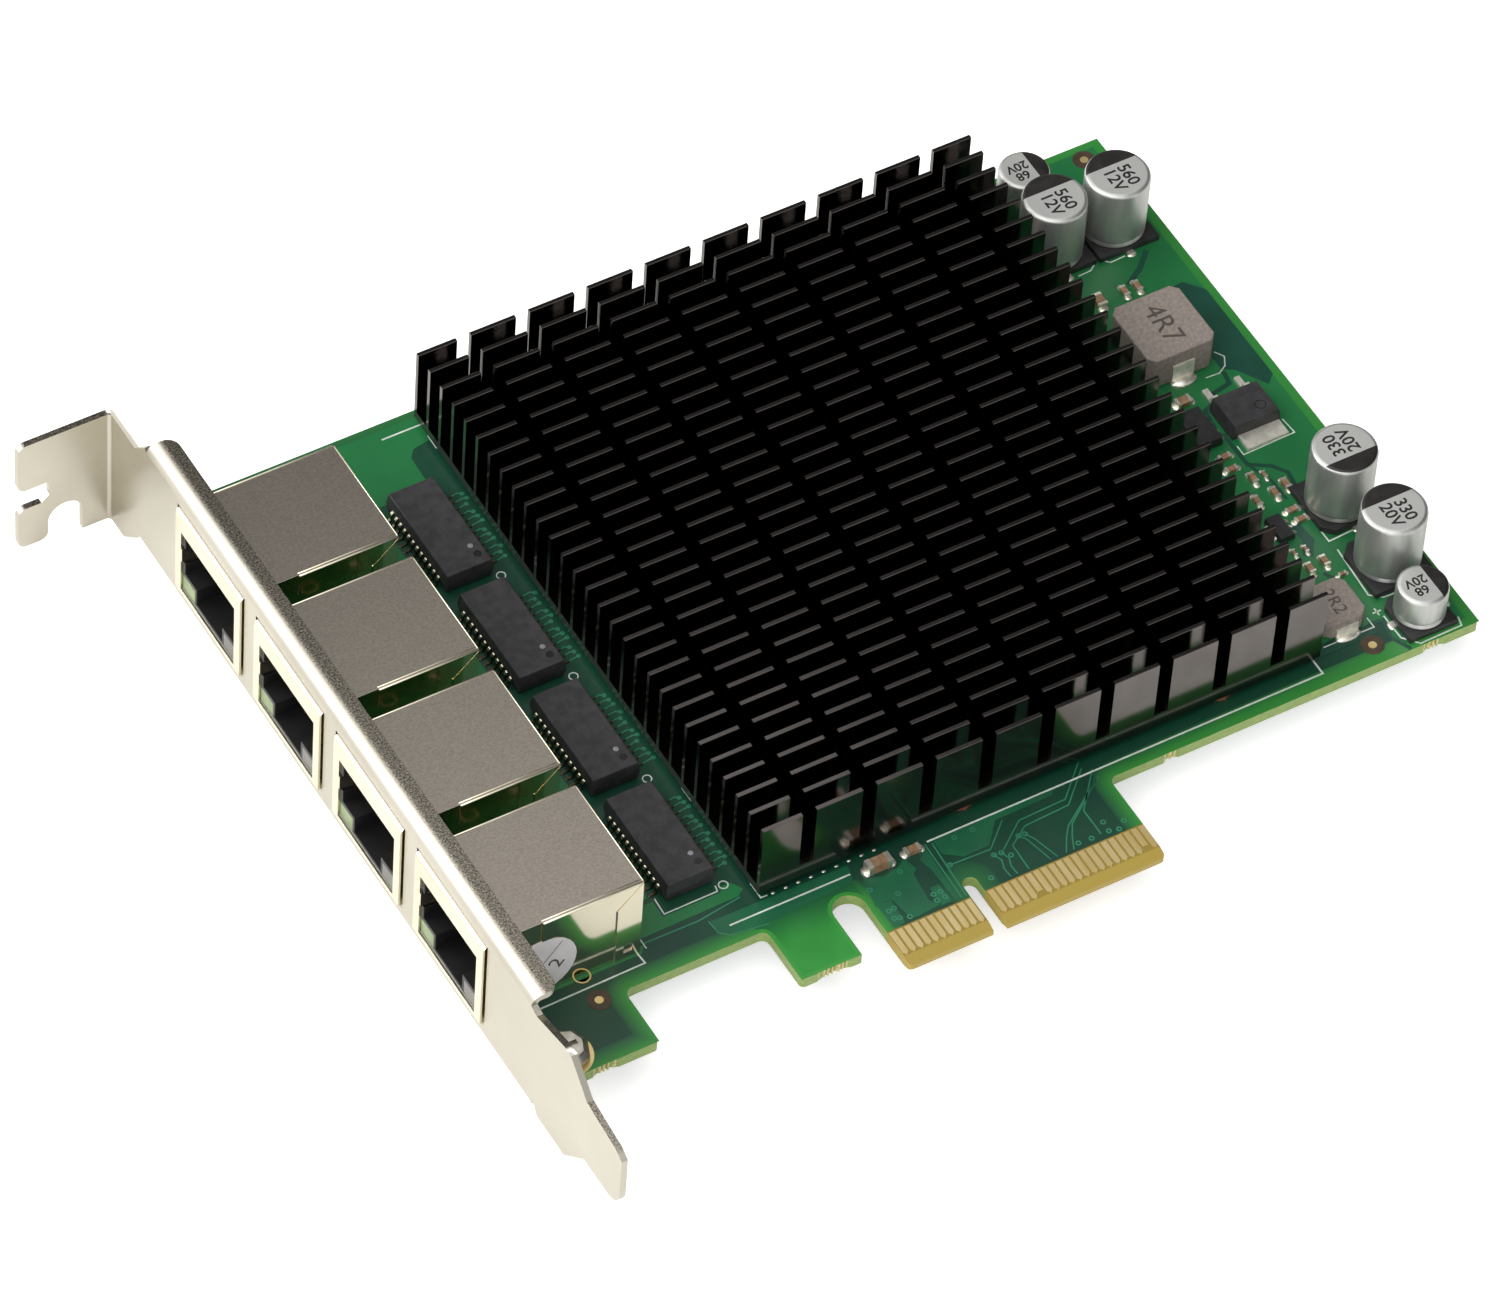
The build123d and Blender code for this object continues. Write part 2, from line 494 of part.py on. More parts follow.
def side_flanges():
    """The two long flanges, each bent off the plate with a round outer corner."""
    flanges = []
    for edge_z, sign, reach_x, span in (
            (PLATE_TOP_Z, 1, UPPER_FLANGE_X, UPPER_FLANGE_SPAN),
            (PLATE_BOTTOM_Z, -1, LOWER_FLANGE_X, LOWER_FLANGE_SPAN)):
        start_z = edge_z - sign * (FLANGE_BEND_RADIUS + SHEET / 2)
        inside_z = edge_z - sign * SHEET
        flange = along_y([(PLATE_OUTER_X, start_z), (PLATE_OUTER_X, edge_z), (reach_x, edge_z),
                          (reach_x, inside_z), (PLATE_INNER_X, inside_z), (PLATE_INNER_X, start_z)], span)
        for corner, radius in (((PLATE_INNER_X, inside_z), FLANGE_BEND_RADIUS - SHEET),
                               ((PLATE_OUTER_X, edge_z), FLANGE_BEND_RADIUS)):
            flange = fillet(edges_along(flange, Axis.Y, corner), radius)
        ends = [edge for edge in flange.edges().filter_by(Axis.Z)
                if abs(edge.center().X - reach_x) < 0.01]
        flanges.append(fillet(ends, FLANGE_CORNER_RADIUS))
    return flanges


def edges_along(shape, axis, *places):
    """Straight edges along one axis that pass through given places in the other two."""
    found = []
    for edge in shape.edges().filter_by(axis):
        middle = edge.center()
        place = {Axis.X: (middle.Y, middle.Z), Axis.Y: (middle.X, middle.Z),
                 Axis.Z: (middle.X, middle.Y)}[axis]
        if any(abs(place[0] - u) < 0.01 and abs(place[1] - v) < 0.01 for u, v in places):
            found.append(edge)
    return found


def bracket_ears():
    """Two ears off the lower flange, each with a raised boss tapped for a board screw."""
    inside_z = PLATE_BOTTOM_Z + SHEET
    ears = []
    for screw_y in SCREW_YS:
        span = (screw_y - EAR_LENGTH / 2, screw_y + EAR_LENGTH / 2)
        if screw_y == SCREW_YS[0]:
            span = (LOWER_FLANGE_SPAN[0] + FLANGE_CORNER_RADIUS, screw_y + EAR_LENGTH / 2)
        ear = block((LOWER_FLANGE_X - SHEET, EAR_REAR_X), span, (PLATE_BOTTOM_Z, inside_z))
        corners = [edge for edge in ear.edges().filter_by(Axis.Z)
                   if abs(edge.center().X - EAR_REAR_X) < 0.01]
        ear = fillet(corners, EAR_CORNER_RADIUS)
        ear += small_rod(SCREW_X, screw_y, BOSS_RADIUS, (PLATE_BOTTOM_Z, -BOARD_THICKNESS))
        ears.append(ear)
    return ears


def mounting_bracket():
    """One folded sheet: plate, screw tab, flanges and ears, pierced for the four jacks."""
    sheet = bent_sheet()
    tab_side = sheet & screw_tab_outline()
    plate_side = sheet & bracket_plate()
    bracket = tab_side + plate_side
    for piece in side_flanges() + bracket_ears():
        bracket += piece
    for jack_y in JACK_YS:
        half = JACK_HALF_WIDTH + WINDOW_CLEARANCE
        window_x = (PLATE_OUTER_X - CUT_MARGIN, PLATE_INNER_X + SKIRT_GAP)
        bracket -= block(window_x, (jack_y - half, jack_y + half),
                         (JACK_SKIRT_Z - WINDOW_CLEARANCE, JACK_TOP_Z + WINDOW_CLEARANCE))
    for screw_y in SCREW_YS:
        bracket -= small_rod(SCREW_X, screw_y, SCREW_SHANK_RADIUS, (PLATE_BOTTOM_Z - CUT_MARGIN, 0))
    return bracket


def bracket_screws():
    """Pan head screws with a cross recess, through the board into the ears."""
    screws = []
    end_z = PLATE_BOTTOM_Z - SCREW_END_BELOW_EAR
    for screw_y in SCREW_YS:
        screw = small_rod(SCREW_X, screw_y, SCREW_HEAD_RADIUS, (0, SCREW_HEAD_HEIGHT))
        rim = screw.faces().sort_by(Axis.Z)[-1].edges()
        screw = chamfer(rim, SCREW_HEAD_BEVEL)
        screw += small_rod(SCREW_X, screw_y, SCREW_SHANK_RADIUS, (end_z, 0))
        recess_z = (SCREW_HEAD_HEIGHT - RECESS_DEPTH, SCREW_HEAD_HEIGHT + CUT_MARGIN)
        long, short = RECESS_LENGTH / 2, RECESS_WIDTH / 2
        for half_x, half_y in ((long, short), (short, long)):
            screw -= block((SCREW_X - half_x, SCREW_X + half_x),
                           (screw_y - half_y, screw_y + half_y), recess_z)
        screws.append(screw)
    return screws


def jack_shield(jack_y):
    """Folded sheet shell of a jack: front frame, hemmed sides, legs and a spring finger."""
    front_inner = JACK_FRONT_X + SHIELD_SHEET
    rear_inner = JACK_REAR_X - SHIELD_SHEET
    skirt_x = BOARD_FRONT_X - SKIRT_GAP
    side = [(JACK_FRONT_X, JACK_SKIRT_Z), (skirt_x, JACK_SKIRT_Z), (skirt_x, 0), (JACK_REAR_X, 0),
            (JACK_REAR_X, JACK_TOP_Z), (JACK_FRONT_X, JACK_TOP_Z)]
    shell = along_y(side, (jack_y - SIDE_WALL, jack_y + SIDE_WALL))
    shell += block((JACK_FRONT_X, JACK_FRONT_X + COLLAR_LENGTH),
                   (jack_y - JACK_HALF_WIDTH, jack_y + JACK_HALF_WIDTH), (JACK_SKIRT_Z, JACK_TOP_Z))
    bead = [edge for edge in shell.edges().filter_by(Axis.Y)
            if abs(edge.center().X - JACK_FRONT_X) < 0.01 and edge.center().Z > JACK_TOP_Z - 0.1]
    shell = fillet(bead, FRONT_BEAD_RADIUS)
    for outward in (-1, 1):
        lip_y = sorted((jack_y + outward * SIDE_WALL, jack_y + outward * JACK_HALF_WIDTH))
        mitre_x = JACK_REAR_X - (JACK_TOP_Z - LIP_BOTTOM_Z)
        lip = [(LIP_FRONT_X, LIP_BOTTOM_Z), (mitre_x, LIP_BOTTOM_Z), (JACK_REAR_X, JACK_TOP_Z),
               (LIP_FRONT_X, JACK_TOP_Z)]
        shell += along_y(lip, lip_y)
        strip_top = LIP_BOTTOM_Z - FOLD_SEAM
        strip = [(REAR_STRIP_FRONT_X, 0), (JACK_REAR_X, 0), (JACK_REAR_X, JACK_TOP_Z - FOLD_SEAM),
                 (mitre_x, strip_top), (REAR_STRIP_FRONT_X, strip_top)]
        strip = along_y(strip, lip_y)
        hole_x = (REAR_STRIP_FRONT_X + JACK_REAR_X) / 2
        hole_y = sum(lip_y) / 2
        hole = Box(LATCH_HOLE[0], JACK_HALF_WIDTH, LATCH_HOLE[1])
        shell += strip - Pos(hole_x, hole_y, LATCH_HOLE_CENTRE_Z) * hole
        leg_y = sorted((jack_y + outward * SIDE_WALL, jack_y + outward * (SIDE_WALL - SHIELD_SHEET)))
        shoulder_z = LEG_END_Z + LEG_POINT_LENGTH
        root_z = SHIELD_SHEET
        shell += along_y([(LEG_X - LEG_WIDTH / 2, root_z), (LEG_X - LEG_WIDTH / 2, shoulder_z),
                          (LEG_X - LEG_WIDTH / 4, LEG_END_Z), (LEG_X + LEG_WIDTH / 4, LEG_END_Z),
                          (LEG_X + LEG_WIDTH / 2, shoulder_z), (LEG_X + LEG_WIDTH / 2, root_z)], leg_y)
    inner_half = SIDE_WALL - SHIELD_SHEET
    hollow = block((front_inner, rear_inner), (jack_y - inner_half, jack_y + inner_half),
                   (JACK_SKIRT_Z - CUT_MARGIN, JACK_TOP_Z - SHIELD_SHEET))
    mouth = block((JACK_FRONT_X - CUT_MARGIN, front_inner + CUT_MARGIN),
                  (jack_y - MOUTH_HALF_WIDTH, jack_y + MOUTH_HALF_WIDTH), (MOUTH_BOTTOM_Z, MOUTH_TOP_Z))
    shell = shell - hollow - mouth
    base_y = jack_y + MOUTH_HALF_WIDTH
    root_y = base_y + FINGER_THICKNESS / 2
    end_y = base_y - FINGER_BEND_IN
    finger = [(JACK_FRONT_X, root_y), (JACK_FRONT_X + FINGER_THICKNESS, root_y),
              (JACK_FRONT_X + FINGER_REACH, end_y),
              (JACK_FRONT_X + FINGER_REACH, end_y - FINGER_THICKNESS),
              (JACK_FRONT_X, base_y - FINGER_THICKNESS)]
    return shell + upright(finger, (FINGER_BOTTOM_Z, FINGER_TOP_Z))


def jack_housing(jack_y):
    """Moulded insert with the plug cavity, its latch channel and the two light guide channels."""
    front_x = JACK_FRONT_X + SHIELD_SHEET
    inner_half = SIDE_WALL - SHIELD_SHEET
    body = block((front_x, JACK_REAR_X - SHIELD_SHEET), (jack_y - inner_half, jack_y + inner_half),
                 (0, JACK_TOP_Z - SHIELD_SHEET))
    cavity = [(-CAVITY_HALF_WIDTH, CAVITY_BOTTOM_Z), (-LATCH_HALF_WIDTH, CAVITY_BOTTOM_Z),
              (-LATCH_HALF_WIDTH, LATCH_BOTTOM_Z), (LATCH_HALF_WIDTH, LATCH_BOTTOM_Z),
              (LATCH_HALF_WIDTH, CAVITY_BOTTOM_Z), (CAVITY_HALF_WIDTH, CAVITY_BOTTOM_Z),
              (CAVITY_HALF_WIDTH, CAVITY_TOP_Z), (-CAVITY_HALF_WIDTH, CAVITY_TOP_Z)]
    body -= along_x([(jack_y + y, z) for y, z in cavity], (front_x - CUT_MARGIN, front_x + CAVITY_DEPTH))
    for side in (-1, 1):
        body -= light_guide_bar(jack_y, side)
        finger_y = sorted((jack_y + side * CAVITY_HALF_WIDTH,
                           jack_y + side * (MOUTH_HALF_WIDTH + FINGER_POCKET_GAP)))
        body -= block((front_x - CUT_MARGIN, JACK_FRONT_X + FINGER_REACH + FINGER_POCKET_GAP), finger_y,
                      (FINGER_BOTTOM_Z - FINGER_POCKET_GAP, FINGER_TOP_Z + FINGER_POCKET_GAP))
    return body


def jack_contacts(jack_y):
    """Eight sprung wires that run back and down from the roof of the cavity."""
    side = [(WIRE_FRONT_X, CAVITY_TOP_Z), (WIRE_BEND_X, CAVITY_TOP_Z), (WIRE_REAR_X, WIRE_LOW_Z),
            (WIRE_FRONT_X, CAVITY_TOP_Z - WIRE_THICKNESS)]
    wires = []
    for k in range(WIRE_COUNT):
        wire_y = jack_y + WIRE_PITCH * (k - (WIRE_COUNT - 1) / 2)
        wires.append(along_y(side, (wire_y - WIRE_WIDTH / 2, wire_y + WIRE_WIDTH / 2)))
    return wires


def light_guide_bar(jack_y, side):
    """Clear bar in a lower corner of the jack."""
    front_x = JACK_FRONT_X + SHIELD_SHEET
    y_span = sorted((jack_y + side * GUIDE_INNER_Y, jack_y + side * GUIDE_OUTER_Y))
    return block((front_x, front_x + GUIDE_LENGTH), y_span, (GUIDE_BOTTOM_Z, GUIDE_TOP_Z))


def transformer_body(module_y):
    """Moulded block with a straight band at the leads and drafted faces above and below it."""
    outline = Rectangle(2 * MODULE_HALF_WIDTH, 2 * MODULE_HALF_LENGTH)
    band = extrude(outline, MODULE_BAND_TOP_Z - MODULE_BAND_BOTTOM_Z, dir=(0, 0, 1))
    upper = extrude(outline, MODULE_TOP_Z - MODULE_BAND_TOP_Z, dir=(0, 0, 1), taper=MODULE_DRAFT)
    lower = extrude(outline, MODULE_BAND_BOTTOM_Z - MODULE_STANDOFF, dir=(0, 0, -1), taper=MODULE_DRAFT)
    body = Pos(0, 0, MODULE_BAND_BOTTOM_Z) * (band + lower) + Pos(0, 0, MODULE_BAND_TOP_Z) * upper
    return Pos(MODULE_X, module_y, 0) * body


def transformer_leads(module_y):
    """Two rows of leads that run down from the module's band to the board."""
    profile = [(0, MODULE_BAND_TOP_Z), (MODULE_LEAD_REACH, LEAD_SHEET), (MODULE_LEAD_REACH, 0),
               (0, MODULE_BAND_BOTTOM_Z)]
    leads = []
    for side in (-1, 1):
        points = [(MODULE_X + side * (MODULE_HALF_WIDTH + out), z) for out, z in profile]
        for k in range(MODULE_LEAD_COUNT):
            lead_y = module_y + MODULE_LEAD_PITCH * (k - (MODULE_LEAD_COUNT - 1) / 2)
            half = MODULE_LEAD_WIDTH / 2
            leads.append(along_y(points, (lead_y - half, lead_y + half)))
    return leads


def line_chip(chip_y):
    """Flat leaded chip under the front edge of the heat sink."""
    half = LINE_CHIP_LENGTH / 2
    return block((LINE_CHIP_FRONT_X, LINE_CHIP_FRONT_X + LINE_CHIP_WIDTH), (chip_y - half, chip_y + half),
                 (CHIP_STANDOFF, CHIP_TOP_Z))


def line_chip_leads():
    """The row of short leads that shows at the front edge of each line chip."""
    leads = []
    for chip_y in LINE_CHIP_YS:
        leads += lead_row(LINE_CHIP_FRONT_X, -1, chip_y, MODULE_LEAD_COUNT, LINE_LEAD_PITCH,
                          LINE_LEAD_REACH, LINE_LEAD_HEIGHT)
    return leads


def lead_row(start_x, side, centre_y, count, pitch, reach, height):
    """A row of short sloping leads that stand against a side face of a chip."""
    profile = [(0, 0), (reach, 0), (0, height)]
    points = [(start_x + side * out, z) for out, z in profile]
    leads = []
    for k in range(count):
        lead_y = centre_y + pitch * (k - (count - 1) / 2)
        leads.append(along_y(points, (lead_y - SMALL_LEAD_WIDTH / 2, lead_y + SMALL_LEAD_WIDTH / 2)))
    return leads


def main_controller():
    """Square package in the middle under the heat sink."""
    half = CONTROLLER_SIDE / 2
    return block((CONTROLLER_X - half, CONTROLLER_X + half), (CONTROLLER_Y - half, CONTROLLER_Y + half),
                 (0, CHIP_TOP_Z))


def thermal_pads():
    """Soft pads that fill the gap between each hot chip and the heat sink."""
    z_span = (CHIP_TOP_Z, SINK_BASE_BOTTOM_Z)
    half = CONTROLLER_SIDE / 2
    pads = [block((CONTROLLER_X - half, CONTROLLER_X + half), (CONTROLLER_Y - half, CONTROLLER_Y + half),
                  z_span)]
    half = LINE_CHIP_LENGTH / 2
    for chip_y in LINE_CHIP_YS:
        pads.append(block((LINE_CHIP_FRONT_X, LINE_CHIP_FRONT_X + LINE_CHIP_WIDTH),
                          (chip_y - half, chip_y + half), z_span))
    return pads


def heat_sink():
    """Comb of thin fins on one base, cut across into blades by nine slots."""
    comb = [(SINK_BOTTOM_Y, SINK_BASE_BOTTOM_Z)]
    for k in range(FIN_COUNT):
        front_y = SINK_BOTTOM_Y + FIN_PITCH * k
        back_y = front_y + FIN_THICKNESS
        if k > 0:
            comb.append((front_y, SINK_BASE_TOP_Z))
        comb += [(front_y, SINK_TOP_Z), (back_y, SINK_TOP_Z)]
        if k < FIN_COUNT - 1:
            comb.append((back_y, SINK_BASE_TOP_Z))
    comb.append((back_y, SINK_BASE_BOTTOM_Z))
    sink = along_x(comb, (SINK_FRONT_X, SINK_REAR_X))
    y_span = (SINK_BOTTOM_Y - CUT_MARGIN, back_y + CUT_MARGIN)
    cutters = []
    for k in range(CROSS_SLOT_COUNT):
        slot_x = FIRST_CROSS_SLOT_X + CROSS_SLOT_PITCH * k
        slot_span = (slot_x, slot_x + CROSS_SLOT_WIDTH)
        cutters.append(block(slot_span, y_span, (CROSS_SLOT_BOTTOM_Z, SINK_TOP_Z + CUT_MARGIN)))
    sink = sink - cutters
    for screw_x in SINK_SCREW_XS:
        for screw_y in SINK_SCREW_YS:
            sink -= small_rod(screw_x, screw_y, SINK_SCREW_RADIUS,
                              (SINK_BASE_BOTTOM_Z - CUT_MARGIN, SINK_BASE_BOTTOM_Z + SINK_SCREW_DEPTH))
    return sink


def heat_sink_spacers():
    """Fibre washers that hold the heat sink off the board at its screws."""
    rings = []
    for screw_x in SINK_SCREW_XS:
        for screw_y in SINK_SCREW_YS:
            ring = small_rod(screw_x, screw_y, SPACER_RADIUS, (0, SINK_BASE_BOTTOM_Z))
            hole_z = (-CUT_MARGIN, SINK_BASE_BOTTOM_Z + CUT_MARGIN)
            ring -= small_rod(screw_x, screw_y, SINK_SCREW_HOLE_RADIUS, hole_z)
            rings.append(ring)
    return rings


def heat_sink_screws():
    """Screws from the solder side, through board and spacer into the base of the heat sink."""
    solder_z = -BOARD_THICKNESS
    screws = []
    for screw_x in SINK_SCREW_XS:
        for screw_y in SINK_SCREW_YS:
            head_z = (solder_z - SINK_SCREW_HEAD_HEIGHT, solder_z)
            head = small_rod(screw_x, screw_y, SINK_SCREW_HEAD_RADIUS, head_z)
            shank_z = (solder_z, SINK_BASE_BOTTOM_Z + SINK_SCREW_DEPTH)
            shank = small_rod(screw_x, screw_y, SINK_SCREW_RADIUS, shank_z)
            slot = block((screw_x - RECESS_LENGTH / 2, screw_x + RECESS_LENGTH / 2),
                         (screw_y - RECESS_WIDTH / 2, screw_y + RECESS_WIDTH / 2),
                         (solder_z - SINK_SCREW_HEAD_HEIGHT - CUT_MARGIN, solder_z - RECESS_DEPTH))
            screws.append(head + shank - slot)
    return screws


def capacitor_can(x, y, diameter, height):
    """Drawn can with a rolled groove just above its base, many-sided because there are six."""
    radius = diameter / 2
    groove_z = CAN_BASE_HEIGHT + CAN_GROOVE_HALF_WIDTH
    side = [(radius, CAN_BASE_HEIGHT), (radius - CAN_GROOVE_DEPTH, groove_z),
            (radius, groove_z + CAN_GROOVE_HALF_WIDTH), (radius, height)]
    rings = [Pos(x, y, z) * RegularPolygon(ring_radius, LARGE_ROUND_SIDES) for ring_radius, z in side]
    return loft(rings, ruled=True)


def capacitor_base(x, y, diameter, flat_corners_up):
    """Square moulded base with two cut corners."""
    half = diameter / 2 + CAN_BASE_MARGIN
    cut = diameter * CAN_BASE_CHAMFER
    side = 1 if flat_corners_up else -1
    outline = [(-half, -side * half), (half, -side * half), (half, side * (half - cut)),
               (half - cut, side * half), (cut - half, side * half), (-half, side * (half - cut))]
    return Pos(x, y, 0) * upright(outline, (0, CAN_BASE_HEIGHT))


def inductor_body(x0, x1, y0, y1, top_z):
    """Pressed powder block with cut corners."""
    body = block((x0, x1), (y0, y1), (INDUCTOR_STANDOFF, top_z))
    return chamfer(body.edges().filter_by(Axis.Z), INDUCTOR_CORNER)


def inductor_terminals():
    """Flat terminals folded up the two ends of each inductor."""
    terminals = []
    for x0, x1, y0, y1, top_z in (INDUCTOR_1, INDUCTOR_2):
        middle = (x0 + x1) / 2
        rise = top_z * TERMINAL_RISE_SHARE
        for edge_y, out in ((y0, -1), (y1, 1)):
            profile = [(edge_y + out * TERMINAL_PROUD, 0), (edge_y + out * TERMINAL_PROUD, rise),
                       (edge_y, rise), (edge_y, INDUCTOR_STANDOFF),
                       (edge_y - out * TERMINAL_FOOT, INDUCTOR_STANDOFF), (edge_y - out * TERMINAL_FOOT, 0)]
            terminals.append(along_x(profile, (middle - TERMINAL_WIDTH / 2, middle + TERMINAL_WIDTH / 2)))
    return terminals


def power_switch_tab():
    """Heat spreader under the power switch, with its two leads at the far end."""
    x0, x1, y0, y1 = SWITCH_TAB
    pieces = [block((x0, x1), (y0, y1), (0, SWITCH_TAB_THICKNESS))]
    end_y = SWITCH[3]
    for lead_x in SWITCH_LEAD_XS:
        half = SWITCH_LEAD_WIDTH / 2
        under_z = SWITCH_LEAD_TOP_Z - SWITCH_LEAD_SHEET
        heel_y = end_y + SWITCH_LEAD_HEEL
        tip_y = end_y + SWITCH_LEAD_REACH
        profile = [(end_y, SWITCH_LEAD_TOP_Z), (heel_y, SWITCH_LEAD_TOP_Z),
                   (heel_y + SWITCH_LEAD_SHEET, SWITCH_LEAD_SHEET), (tip_y, SWITCH_LEAD_SHEET), (tip_y, 0),
                   (heel_y, 0), (heel_y - SWITCH_LEAD_SHEET, under_z), (end_y, under_z)]
        pieces.append(along_x(profile, (lead_x - half, lead_x + half)))
    return pieces


def power_switch_body():
    """Moulded body over the spreader, with drafted sides."""
    x0, x1, y0, y1, top_z = SWITCH
    profile = [(x0, CHIP_STANDOFF), (x1, CHIP_STANDOFF), (x1, SWITCH_PARTING_Z),
               (x1 - SWITCH_DRAFT, top_z), (x0 + SWITCH_DRAFT, top_z), (x0, SWITCH_PARTING_Z)]
    body = along_y(profile, (y0, y1))
    tab_x0, tab_x1, tab_y0, tab_y1 = SWITCH_TAB
    return body - block((tab_x0, tab_x1), (tab_y0, tab_y1), (0, SWITCH_TAB_THICKNESS))


def small_chip(x0, x1, y0, y1, top_z):
    """Small moulded chip, its upper half drafted."""
    parting_z = top_z * SMALL_CHIP_PARTING_SHARE
    profile = [(x0, CHIP_STANDOFF), (x1, CHIP_STANDOFF), (x1, parting_z), (x1 - SMALL_CHIP_DRAFT, top_z),
               (x0 + SMALL_CHIP_DRAFT, top_z), (x0, parting_z)]
    return along_y(profile, (y0, y1))


def small_chip_leads():
    """Leads of the regulator and the driver chip."""
    leads = []
    for chip, count, pitch in ((REGULATOR, 4, REGULATOR_LEAD_PITCH), (DRIVER, 3, DRIVER_LEAD_PITCH)):
        x0, x1, y0, y1, top_z = chip
        for start_x, side in ((x0, -1), (x1, 1)):
            leads += lead_row(start_x, side, (y0 + y1) / 2, count, pitch, SMALL_LEAD_REACH, top_z / 2)
    return leads


def chip_capacitors():
    """All the small chip parts, each one block."""
    blocks = []
    for x, y, length, width, height, lengthwise in CHIPS:
        turn = Rot(0, 0, 0 if lengthwise else 90)
        blocks.append(Pos(x, y, height / 2) * turn * Box(length, width, height))
    return blocks


def inspection_sticker():
    """Round sticker on the outer side of the lowest jack."""
    face_y = JACK_YS[-1] - SIDE_WALL
    centre_z = LIP_BOTTOM_Z - STICKER_BELOW_LIP - STICKER_RADIUS
    disc = extrude(RegularPolygon(STICKER_RADIUS, LARGE_ROUND_SIDES), STICKER_THICKNESS)
    return Pos(STICKER_X, face_y, centre_z) * Rot(90, 0, 0) * disc


save("circuit_board", circuit_board())
save("edge_contacts", edge_contacts())
save("mounting_bracket", mounting_bracket())
save("bracket_screws", bracket_screws())
for number, jack_y in enumerate(JACK_YS, start=1):
    save("jack_shield_%d" % number, jack_shield(jack_y))
    save("jack_housing_%d" % number, jack_housing(jack_y))
    save("jack_contacts_%d" % number, jack_contacts(jack_y))
save("activity_light_guides", [light_guide_bar(jack_y, 1) for jack_y in JACK_YS])
save("link_light_guides", [light_guide_bar(jack_y, -1) for jack_y in JACK_YS])
for number, module_y in enumerate(MODULE_YS, start=1):
    save("transformer_body_%d" % number, transformer_body(module_y))
    save("transformer_leads_%d" % number, transformer_leads(module_y))
save("main_controller", main_controller())
for number, chip_y in enumerate(LINE_CHIP_YS, start=1):
    save("line_chip_%d" % number, line_chip(chip_y))
save("line_chip_leads", line_chip_leads())
save("thermal_pads", thermal_pads())
save("heat_sink", heat_sink())
save("heat_sink_spacers", heat_sink_spacers())
save("heat_sink_screws", heat_sink_screws())
for number, (x, y, diameter, height) in enumerate(CAPACITORS, start=1):
    save("capacitor_can_%d" % number, capacitor_can(x, y, diameter, height))
    save("capacitor_base_%d" % number, capacitor_base(x, y, diameter, number != 4))
save("inductor_body_1", inductor_body(*INDUCTOR_1))
save("inductor_body_2", inductor_body(*INDUCTOR_2))
save("inductor_terminals", inductor_terminals())
save("power_switch_body", power_switch_body())
save("power_switch_tab", power_switch_tab())
save("regulator_chip", small_chip(*REGULATOR))
save("driver_chip", small_chip(*DRIVER))
save("small_chip_leads", small_chip_leads())
save("chip_capacitors", chip_capacitors())
save("inspection_sticker", inspection_sticker())
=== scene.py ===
import math

import bmesh
import bpy
from mathutils import Matrix, Vector


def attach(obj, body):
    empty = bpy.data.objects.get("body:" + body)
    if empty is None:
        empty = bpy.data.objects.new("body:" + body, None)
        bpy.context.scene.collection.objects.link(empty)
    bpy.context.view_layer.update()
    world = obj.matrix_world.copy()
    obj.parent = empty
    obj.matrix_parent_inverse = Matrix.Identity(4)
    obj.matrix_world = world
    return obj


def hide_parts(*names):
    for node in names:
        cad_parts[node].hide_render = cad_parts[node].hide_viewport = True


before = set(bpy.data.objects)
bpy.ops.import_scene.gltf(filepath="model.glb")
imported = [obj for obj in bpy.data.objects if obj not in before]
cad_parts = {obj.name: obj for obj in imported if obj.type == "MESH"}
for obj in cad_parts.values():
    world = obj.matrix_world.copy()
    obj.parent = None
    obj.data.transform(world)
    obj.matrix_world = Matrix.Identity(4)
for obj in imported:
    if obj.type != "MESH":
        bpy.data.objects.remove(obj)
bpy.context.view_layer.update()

# Circuit board: glass-fibre laminate, routed to shape, with green solder mask over its copper.
# Mask over bare laminate is dark teal; toward the contact fingers the mask stops and the
# laminate shows olive yellow, as it does on the routed edges.
MM = 0.001
MASK_DARK, MASK_DARKER = "#14432f", "#103a2c"
ROUTED_LIGHT, ROUTED_DARK = "#92a85f", "#7c964d"
LAMINATE_BARE, LAMINATE_BEVEL, BARE_RIM = "#8f7a34", "#a08a3c", "#a8923f"
BARE_SPAN_X, BARE_BELOW_Y = (-12.0, 21.95), 5.15
BEVEL_BELOW_Y, BEVEL_SOFTNESS = 1.35, 0.1
# The outer glass cloth has about 44 threads to the inch, so they lie 0.58 mm apart.
WEAVE_PITCH = 0.6
# The noise seldom leaves this span, which is stretched over the two colours of a pattern.
NOISE_SPAN = (0.35, 0.65)


def linear(colour):
    """A colour written as sRGB hex, as linear RGBA."""
    channels = [int(colour[k:k + 2], 16) / 255 for k in (1, 3, 5)]
    return [c / 12.92 if c <= 0.04045 else ((c + 0.055) / 1.055) ** 2.4 for c in channels] + [1]


def add(tree, kind, inputs=None, **settings):
    """One shader node with its settings; a socket given as an input is linked, a value is set."""
    made = tree.nodes.new("ShaderNode" + kind)
    for name, value in settings.items():
        setattr(made, name, value)
    for name, value in (inputs or {}).items():
        if isinstance(value, bpy.types.NodeSocket):
            tree.links.new(value, made.inputs[name])
        else:
            made.inputs[name].default_value = value
    return made


def finish(name, **values):
    """A new material named for its finish, with the shader's plain values set on their sockets."""
    material = bpy.data.materials.new(name)
    material.use_nodes = True
    shader = material.node_tree.nodes["Principled BSDF"]
    for key, value in values.items():
        shader.inputs[key.replace("_", " ")].default_value = value
    return material, material.node_tree, shader


